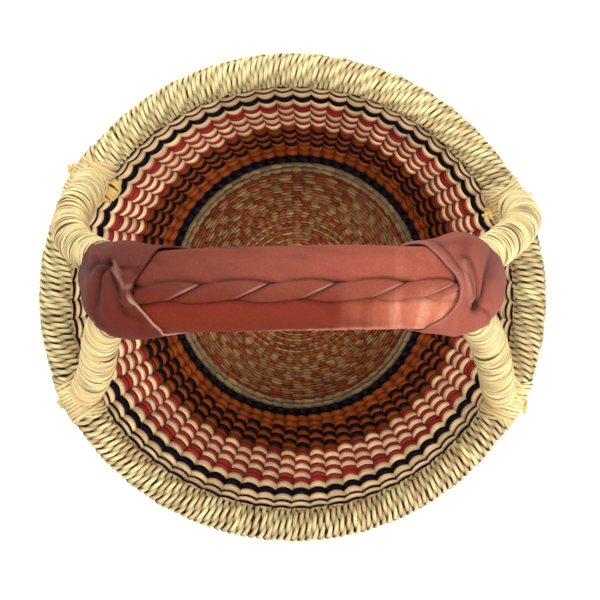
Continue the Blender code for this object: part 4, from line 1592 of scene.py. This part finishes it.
class BASKET_OT_grip(bpy.types.Operator):
    """Wrap the grip in leather and lay the plaited seam along its top"""

    bl_idname = "basket.grip"
    bl_label = "Grip"

    def execute(self, context):
        body, _, handle, dyes, _ = settings()
        leather = leather_material(
            "grip_leather", dyes.leather, dyes.leather_lit_and_rubbed, dyes.leather_back_sheen, 0.55
        )
        radius = handle.core_radius + GAP + handle.leather
        slit = signed_length(body, handle, FIRST_SLIT_SHARE)
        lit_edge_middle, lit_edge_reach = (math.radians(angle) for angle in LIT_EDGE_BAND)
        rings, crease, cut, worn, polished = [], [], [], [], []
        for i in range(COVER_RINGS):
            u = COVER_REACH_SHARE * (2 * i / (COVER_RINGS - 1) - 1)
            length = signed_length(body, handle, u)
            ring = []
            for j in range(COVER_SIDES):
                phi = math.tau * (j + 0.5) / COVER_SIDES
                round_way = (phi - math.pi / 2) * ARC_PER_RADIAN
                broad = waver(length * 26, math.cos(phi) * 0.9, math.sin(phi) * 0.9)
                pull = waver(length * 55 - round_way * 70, round_way * 120, 8.0)
                wrinkle = waver(length * 210, round_way * 60, 4.0)
                wide = half_spread(body, handle, u) + radius
                across = squared(math.cos(phi)) * wide
                along_seam = length - across * SEAM_SLANT - slit
                _, at = lobe_at(handle, along_seam)
                near_seam = bump_at(abs(across) - handle.seam_width / 2 * lobe_width(at), 0.0013)
                upper = math.sin(phi) > 0
                pinch = bump_at(min(at, 1 - at), 0.17)
                lift = 0.0006 * broad + 0.0003 * pull + 0.00012 * wrinkle
                lift -= (0.0006 + 0.0005 * pinch) * near_seam * upper
                ring.append(leather_point(body, handle, u, phi, radius, lift))
                back = 1.0 if across > 0 else 0.55
                # Painted shade in the dip beside the seam, more on its back side, and in the dents of the
                # pulled leather
                crease.append(near_seam * upper * back * (0.35 + 0.65 * pinch) + max(0.0, -pull) * 0.35)
                cut.append(0.0)
                # Painted sheen: the back half of the cover takes the far side's purplish tone
                worn.append(0.75 * smooth_step(-0.004, 0.004, across))
                # Painted highlight along the lower front edge
                polished.append(0.55 * bump_at(phi - lit_edge_middle, lit_edge_reach))
            rings.append(ring)
        marks = {"crease": crease, "cut": cut, "worn": worn, "polished": polished}
        cover = link_skin("leather_grip", rings, leather, marks, capped=True)
        place(cover, "leather", "grip_cover")
        seam = plaited_seam(body, handle, radius, leather)
        place(seam, "leather", "grip_lacing")
        return {"FINISHED"}


SEAM_RINGS = 640
SEAM_SIDES = 28
# Where the seam ends under the cuffs, on the handle's line
SEAM_ENDS = (-0.356, 0.383)
# How far along itself the seam's cuts run for each step across it
SEAM_SLANT = 2.1
# Where the slit next to the left cuff's tip lies on the handle's line, the lobe after which the
# lobes get shorter, and how fast they do
FIRST_SLIT_SHARE = -0.228
LAST_LONG_LOBE = 3
LOBE_SHORTENING = 0.36
# The narrowest width of a lobe, as a share of the seam's
LEAST_LOBE_WIDTH = 0.60


def lobe_at(handle, from_slit):
    """Which lobe of the plait, and how far along it, at a length past the first slit."""
    phase = from_slit / handle.lobe_length
    phase += LOBE_SHORTENING * max(0.0, phase - LAST_LONG_LOBE)
    return math.floor(phase), phase % 1.0


def lobe_width(at):
    """The width of a lobe as a share of the seam's: pinched at its slit, full in the middle."""
    return LEAST_LOBE_WIDTH + 0.40 * math.sin(math.pi * min(1.0, at)) ** 0.9


def plaited_seam(body, handle, radius, leather):
    """The thong pulled through its own slits: each lobe ends in a slanted cut edge over the next."""
    rings, crease, cut, worn = [], [], [], []
    half = handle.seam_width / 2
    table = [(0.5 * k / 80, length_along(body, handle, 0.5 * k / 80)) for k in range(81)]

    def share_at(length):
        size = abs(length)
        k = 0
        while k < len(table) - 2 and table[k + 1][1] < size:
            k += 1
        (a, low), (b, high) = table[k], table[k + 1]
        return math.copysign(a + (b - a) * (size - low) / (high - low), length)

    start, end, slit = (signed_length(body, handle, u) for u in (*SEAM_ENDS, FIRST_SLIT_SHARE))
    for i in range(SEAM_RINGS):
        middle = start + (end - start) * i / (SEAM_RINGS - 1)
        lobe, at = lobe_at(handle, middle - slit)
        long_way = waver(lobe * 7.3, 1.0, 2.0)
        lens = lobe_width(at) + 0.05 * long_way
        ring = []
        for j in range(SEAM_SIDES):
            psi = math.tau * j / SEAM_SIDES
            side, up = math.cos(psi), math.sin(psi)
            across = side * half * lens + 0.0005 * long_way
            centre, sideways, outward = handle_frame(body, handle, share_at(middle + across * SEAM_SLANT))
            rise = abs(up)
            if up > 0:
                height = 0.30 + 0.70 * smooth_step(0.0, 0.80, at)
                height *= 1 - 0.8 * smooth_step(0.988, 1.0, at)
                bulge = handle.seam_height * height * rise**0.45
                bulge += 0.00022 * waver(middle * 260, across * 300, 2.0)
            else:
                bulge = -handle.seam_height * 0.3 * rise
            ring.append(centre + outward * (radius - 0.0006 + bulge) + sideways * across)
            on_top = 1.0 if up > 0 else 0.0
            edge = smooth_step(0.885, 0.930, at) * (1 - smooth_step(0.985, 1.0, at))
            cut.append(on_top * edge * (0.14 + 0.42 * bump_at(side - 0.30, 0.50)))
            # Painted shade under the end of each lobe, at its cut and down the seam's sides; the whole seam
            # is darker by a baseline
            dark = 0.8 * bump_at(at, 0.040) + 0.3 * bump_at(at - 0.905, 0.012) + 0.5 * bump_at(rise, 0.35)
            dark += 0.5 * bump_at(at, 0.16) * max(0.0, side)
            crease.append(min(1.0, 0.22 + on_top * dark) * 0.85)
            # Painted sheen: the seam leans to the far side's purplish tone, more on its back side
            worn.append(0.55 + 0.25 * side)
        rings.append(ring)
    marks = {"crease": crease, "cut": cut, "worn": worn}
    return link_skin("leather_seam", rings, leather, marks, capped=True)


CUFF_RINGS = 110
CUFF_SIDES = 168
# The last place on the handle's line that the cuffs' table of lengths reaches, and its steps
CUFF_TABLE_END = 0.7
CUFF_TABLE_STEPS = 64


class BASKET_OT_cuffs(bpy.types.Operator):
    """Draw the two leather cuffs over the ends of the grip, tucked and folded"""

    bl_idname = "basket.cuffs"
    bl_label = "Cuffs"

    def execute(self, context):
        body, _, handle, dyes, _ = settings()
        leather = leather_material("cuff_leather", dyes.cuff, dyes.cuff_light, dyes.cuff_shade, 0.06)
        places = [CUFF_TABLE_END * k / CUFF_TABLE_STEPS for k in range(CUFF_TABLE_STEPS + 1)]
        lengths = [length_along(body, handle, u) for u in places]
        for name, side_x in (("left", -1), ("right", 1)):
            tuck_u, tuck_degrees, fan_start, fan_end, folds = CUFF_TUCKS[name]
            tuck = flat_place(body, handle, tuck_u, tuck_degrees)
            strap = [flat_place(body, handle, u, degrees) for u, degrees in CUFF_STRAPS[name]]
            rings = {1: [], -1: []}
            marks = {label: {1: [], -1: []} for label in ("crease", "cut", "worn")}
            for i in range(CUFF_RINGS):
                v = i / (CUFF_RINGS - 1)
                for face in (1, -1):
                    ring = []
                    for j in range(CUFF_SIDES):
                        phi = math.tau * (j + 0.5) / CUFF_SIDES
                        mouth = edge_share(CUFF_MOUTHS[name], phi)
                        edge = edge_share(CUFF_EDGES[name], phi)
                        u = mouth + (edge - mouth) * v
                        at = u / CUFF_TABLE_END * CUFF_TABLE_STEPS
                        k = min(int(at), CUFF_TABLE_STEPS - 1)
                        length = lengths[k] + (lengths[k + 1] - lengths[k]) * (at - k)
                        round_phi = (phi + math.pi / 2) % math.tau - math.pi / 2
                        spot = Vector((length, (round_phi - math.pi / 2) * ARC_PER_RADIAN))
                        from_edge = abs(edge - u) * LENGTH_PER_U
                        from_mouth = abs(u - mouth) * LENGTH_PER_U
                        lift, dark = cuff_relief(spot, tuck, fan_start, fan_end, folds, side_x)
                        height, pale = strap_relief(spot, strap, side_x)
                        pit = bump_at((spot - tuck).length, 0.0032)
                        lift += height * (1 - pit)
                        pale *= 1 - pit
                        if name == "right":
                            rolled = 1 - smooth_step(-0.002, 0.010, spot.y)
                            lift += 0.0010 * rolled * bump_at(from_edge - 0.0018, 0.0022)
                            lift -= 0.0006 * rolled * bump_at(from_edge - 0.0058, 0.0014)
                            # Painted shade in the fold behind the rolled lip
                            dark += 0.50 * rolled * bump_at(from_edge - 0.0056, 0.0009)
                            # A faint pale band on the rolled lip: its cut edge seen face on, partly a painted
                            # highlight
                            pale += 0.10 * rolled * bump_at(from_edge - 0.0012, 0.0022)
                        else:
                            lift += 0.0006 * bump_at(from_edge, 0.0030)
                        lift -= 0.0013 * bump_at(from_edge, 0.0040) * (1 - bump_at(spot.y, 0.009))
                        puff = max(0.0, math.cos(phi)) ** 1.5 * bump_at(u - 0.425, 0.075)
                        lift += CUFF_PUFFS[name] * puff
                        if u > LEG_TOP_SHARE - 0.02:
                            lift = max(lift, -0.0011)
                        lift -= 0.0019 * bump_at(from_mouth, 0.0045)
                        lift += 0.0003 * bump_at(from_mouth, 0.008) * math.sin(phi * 15)
                        cos_phi, sin_phi = math.cos(phi), math.sin(phi)
                        lift += 0.0006 * waver(spot.x * 70, cos_phi * 1.5, sin_phi * 1.5 + side_x)
                        radius = handle.leg_radius + 0.0004 + (handle.leather if face > 0 else 0.0)
                        if face < 0:
                            lift = min(lift, 0.0003) + 0.0006 * bump_at(from_edge, 0.0030)
                        ring.append(leather_point(body, handle, side_x * u, phi, radius, lift))
                        # Painted shade in the cuff's folds, and all over its inner face
                        marks["crease"][face].append(min(1.0, dark) if face > 0 else 0.8)
                        # A pale cut edge along the cuff's rim; on the left cuff only along its lower side,
                        # where it catches the light, so there it is partly a painted highlight
                        lower = smooth_step(-0.001, 0.002, spot.y) if name == "left" else 0.35
                        marks["cut"][face].append(min(1.0, pale + lower * bump_at(from_edge, 0.0006)))
                        # Painted sheen: the upper side of each cuff takes the far side's purplish tone
                        marks["worn"][face].append((1 - smooth_step(-0.012, 0.008, spot.y)) * 0.6)
                    rings[face].append(ring)
            flat = {}
            for label, values in marks.items():
                back = [values[-1][k * CUFF_SIDES : (k + 1) * CUFF_SIDES] for k in range(CUFF_RINGS)]
                flat[label] = values[1] + [value for row in back[::-1] for value in row]
            skin = link_skin(f"leather_cuff_{name}", rings[1] + rings[-1][::-1], leather, flat)
            place(skin, "leather", f"cuff_{name}")
        return {"FINISHED"}


def flat_place(body, handle, u, degrees):
    """A place on the leather, unrolled: length along the handle and way round from the top."""
    return Vector((length_along(body, handle, u), math.radians(degrees - 90) * ARC_PER_RADIAN))


def strap_relief(spot, strap, side_x):
    """The raised strap along a path on the leather: its height, and how pale its cut edge is."""
    nearest, side = 1.0, 1.0
    for a, b in zip(strap, strap[1:]):
        way = b - a
        at = min(1.0, max(0.0, (spot - a).dot(way) / way.length_squared))
        distance = (spot - a - way * at).length
        if distance < nearest:
            nearest = distance
            side = math.copysign(1, way.x * (spot.y - a.y) - way.y * (spot.x - a.x))
    height = 0.0021 * (1 - smooth_step(0.0020, 0.0036, nearest))
    pale = bump_at(nearest - 0.0026, 0.0008) * (0.40 if side * side_x < 0 else 0.10)
    return height, pale


def cuff_relief(spot, tuck, fan_start, fan_end, folds, side_x):
    """The height of the folds that fan out from a cuff's tuck, and the painted shade in their hollows and in
    the tuck's hole.
    """
    away = spot - tuck
    distance = away.length
    turn = math.degrees(math.atan2(away.y, away.x))
    fan = (turn - fan_start) / (fan_end - fan_start)
    inside = smooth_step(-0.10, 0.10, fan) * (1 - smooth_step(0.90, 1.10, fan))
    reach = smooth_step(0.0008, 0.006, distance) * math.exp(-max(0.0, distance - 0.008) / 0.016)
    wander = waver(distance * 90, fan * 3.0, side_x) * 0.45
    wave = math.cos(math.tau * (fan * folds / 2 + wander))
    lift = 0.0013 * wave * inside * reach
    dark = max(0.0, -wave) ** 2 * inside * reach * 0.95
    # Painted shadow in the tuck's hole
    pit = bump_at(distance, 0.0029)
    return lift - 0.0036 * pit, dark + 1.6 * pit


# Stage

# Each lamp: its diameter, its place and the height of the point that it faces
LAMPS = {
    "key": (0.55, (0.62, -0.66, 0.92), 0.08),
    "fill": (0.7, (-0.22, 0.62, 0.85), 0.12),
}
STAGE_REACH = 6.0
STAGE_GREY = (0.86, 0.86, 0.86, 1.0)
# Light that only the camera sees on the stage floor
STAGE_GLOW = 0.60
WHITE = (1.0, 1.0, 1.0, 1.0)


class BASKET_OT_stage(bpy.types.Operator):
    """Set the pale floor, the soft light and the camera"""

    bl_idname = "basket.stage"
    bl_label = "Stage"

    def execute(self, context):
        stage = settings()[4]
        scene = bpy.context.scene
        scene.view_settings.view_transform = "Standard"
        corners = [(x * STAGE_REACH, y * STAGE_REACH, 0) for x, y in ((-1, -1), (1, -1), (1, 1), (-1, 1))]
        floor = link_mesh("stage_floor", corners, [(0, 1, 2, 3)])
        material, tree, surface = new_material("stage_floor", 0.1)
        tree.feed(surface["Base Color"], STAGE_GREY)
        tree.feed(surface["Roughness"], 0.9)
        tree.feed(surface["Emission Color"], WHITE)
        seen = tree.add("ShaderNodeLightPath")["Is Camera Ray"]
        tree.feed(surface["Emission Strength"], tree.math("MULTIPLY", seen, STAGE_GLOW))
        floor.data.materials.append(material)
        world = bpy.data.worlds.new("studio")
        world.use_nodes = True
        scene.world = world
        sky = world.node_tree.nodes["Background"].inputs
        tree = Tree(world.node_tree)
        tree.feed(sky["Color"], WHITE)
        seen = tree.add("ShaderNodeLightPath")["Is Camera Ray"]
        extra = tree.math("MULTIPLY", seen, 1 - stage.world_light)
        tree.feed(sky["Strength"], tree.math("ADD", extra, stage.world_light))
        for name, (diameter, place_of, faced) in LAMPS.items():
            lamp = bpy.data.lights.new(name, "AREA")
            lamp.shape = "DISK"
            lamp.size = diameter
            lamp.energy = getattr(stage, f"{name}_light")
            light = link_object(name, lamp)
            light.location = place_of
            way = Vector((0, 0, faced)) - light.location
            light.rotation_euler = way.to_track_quat("-Z", "Y").to_euler()
        lens = bpy.data.cameras.new("view")
        lens.sensor_width = 36.0
        lens.lens = lens.sensor_width * stage.view_share
        lens.shift_x = stage.shift_x
        lens.shift_y = stage.shift_y
        lens.clip_start = 0.01
        camera = link_object("view", lens)
        camera.location = stage.camera_place
        camera.rotation_euler = (stage.camera_tilt, stage.camera_bank, 0)
        scene.camera = camera
        return {"FINISHED"}


OPERATORS = (
    BASKET_OT_floor,
    BASKET_OT_wall,
    BASKET_OT_rim,
    BASKET_OT_legs,
    BASKET_OT_lashings,
    BASKET_OT_knots,
    BASKET_OT_grip,
    BASKET_OT_cuffs,
    BASKET_OT_stage,
)


class BASKET_PT_looks(bpy.types.Panel):
    """Lists the pieces of the basket"""

    bl_label = "Basket"
    bl_space_type = "VIEW_3D"
    bl_region_type = "UI"
    bl_category = "Basket"

    def draw(self, context):
        for name in SETTINGS:
            box = self.layout.box()
            group = getattr(context.scene, name)
            for key in group.__annotations__:
                box.prop(group, key)
        for operator in OPERATORS:
            self.layout.operator(operator.bl_idname)


CLASSES = (*SETTINGS.values(), *OPERATORS, BASKET_PT_looks)


def register():
    for cls in CLASSES:
        bpy.utils.register_class(cls)
    for name, cls in SETTINGS.items():
        setattr(bpy.types.Scene, name, PointerProperty(type=cls))


def unregister():
    for name in SETTINGS:
        delattr(bpy.types.Scene, name)
    for cls in reversed(CLASSES):
        bpy.utils.unregister_class(cls)


def main():
    register()
    for operator in OPERATORS:
        group, call = operator.bl_idname.split(".")
        getattr(getattr(bpy.ops, group), call)()
    bpy.context.view_layer.update()


if __name__ == "__main__":
    main()
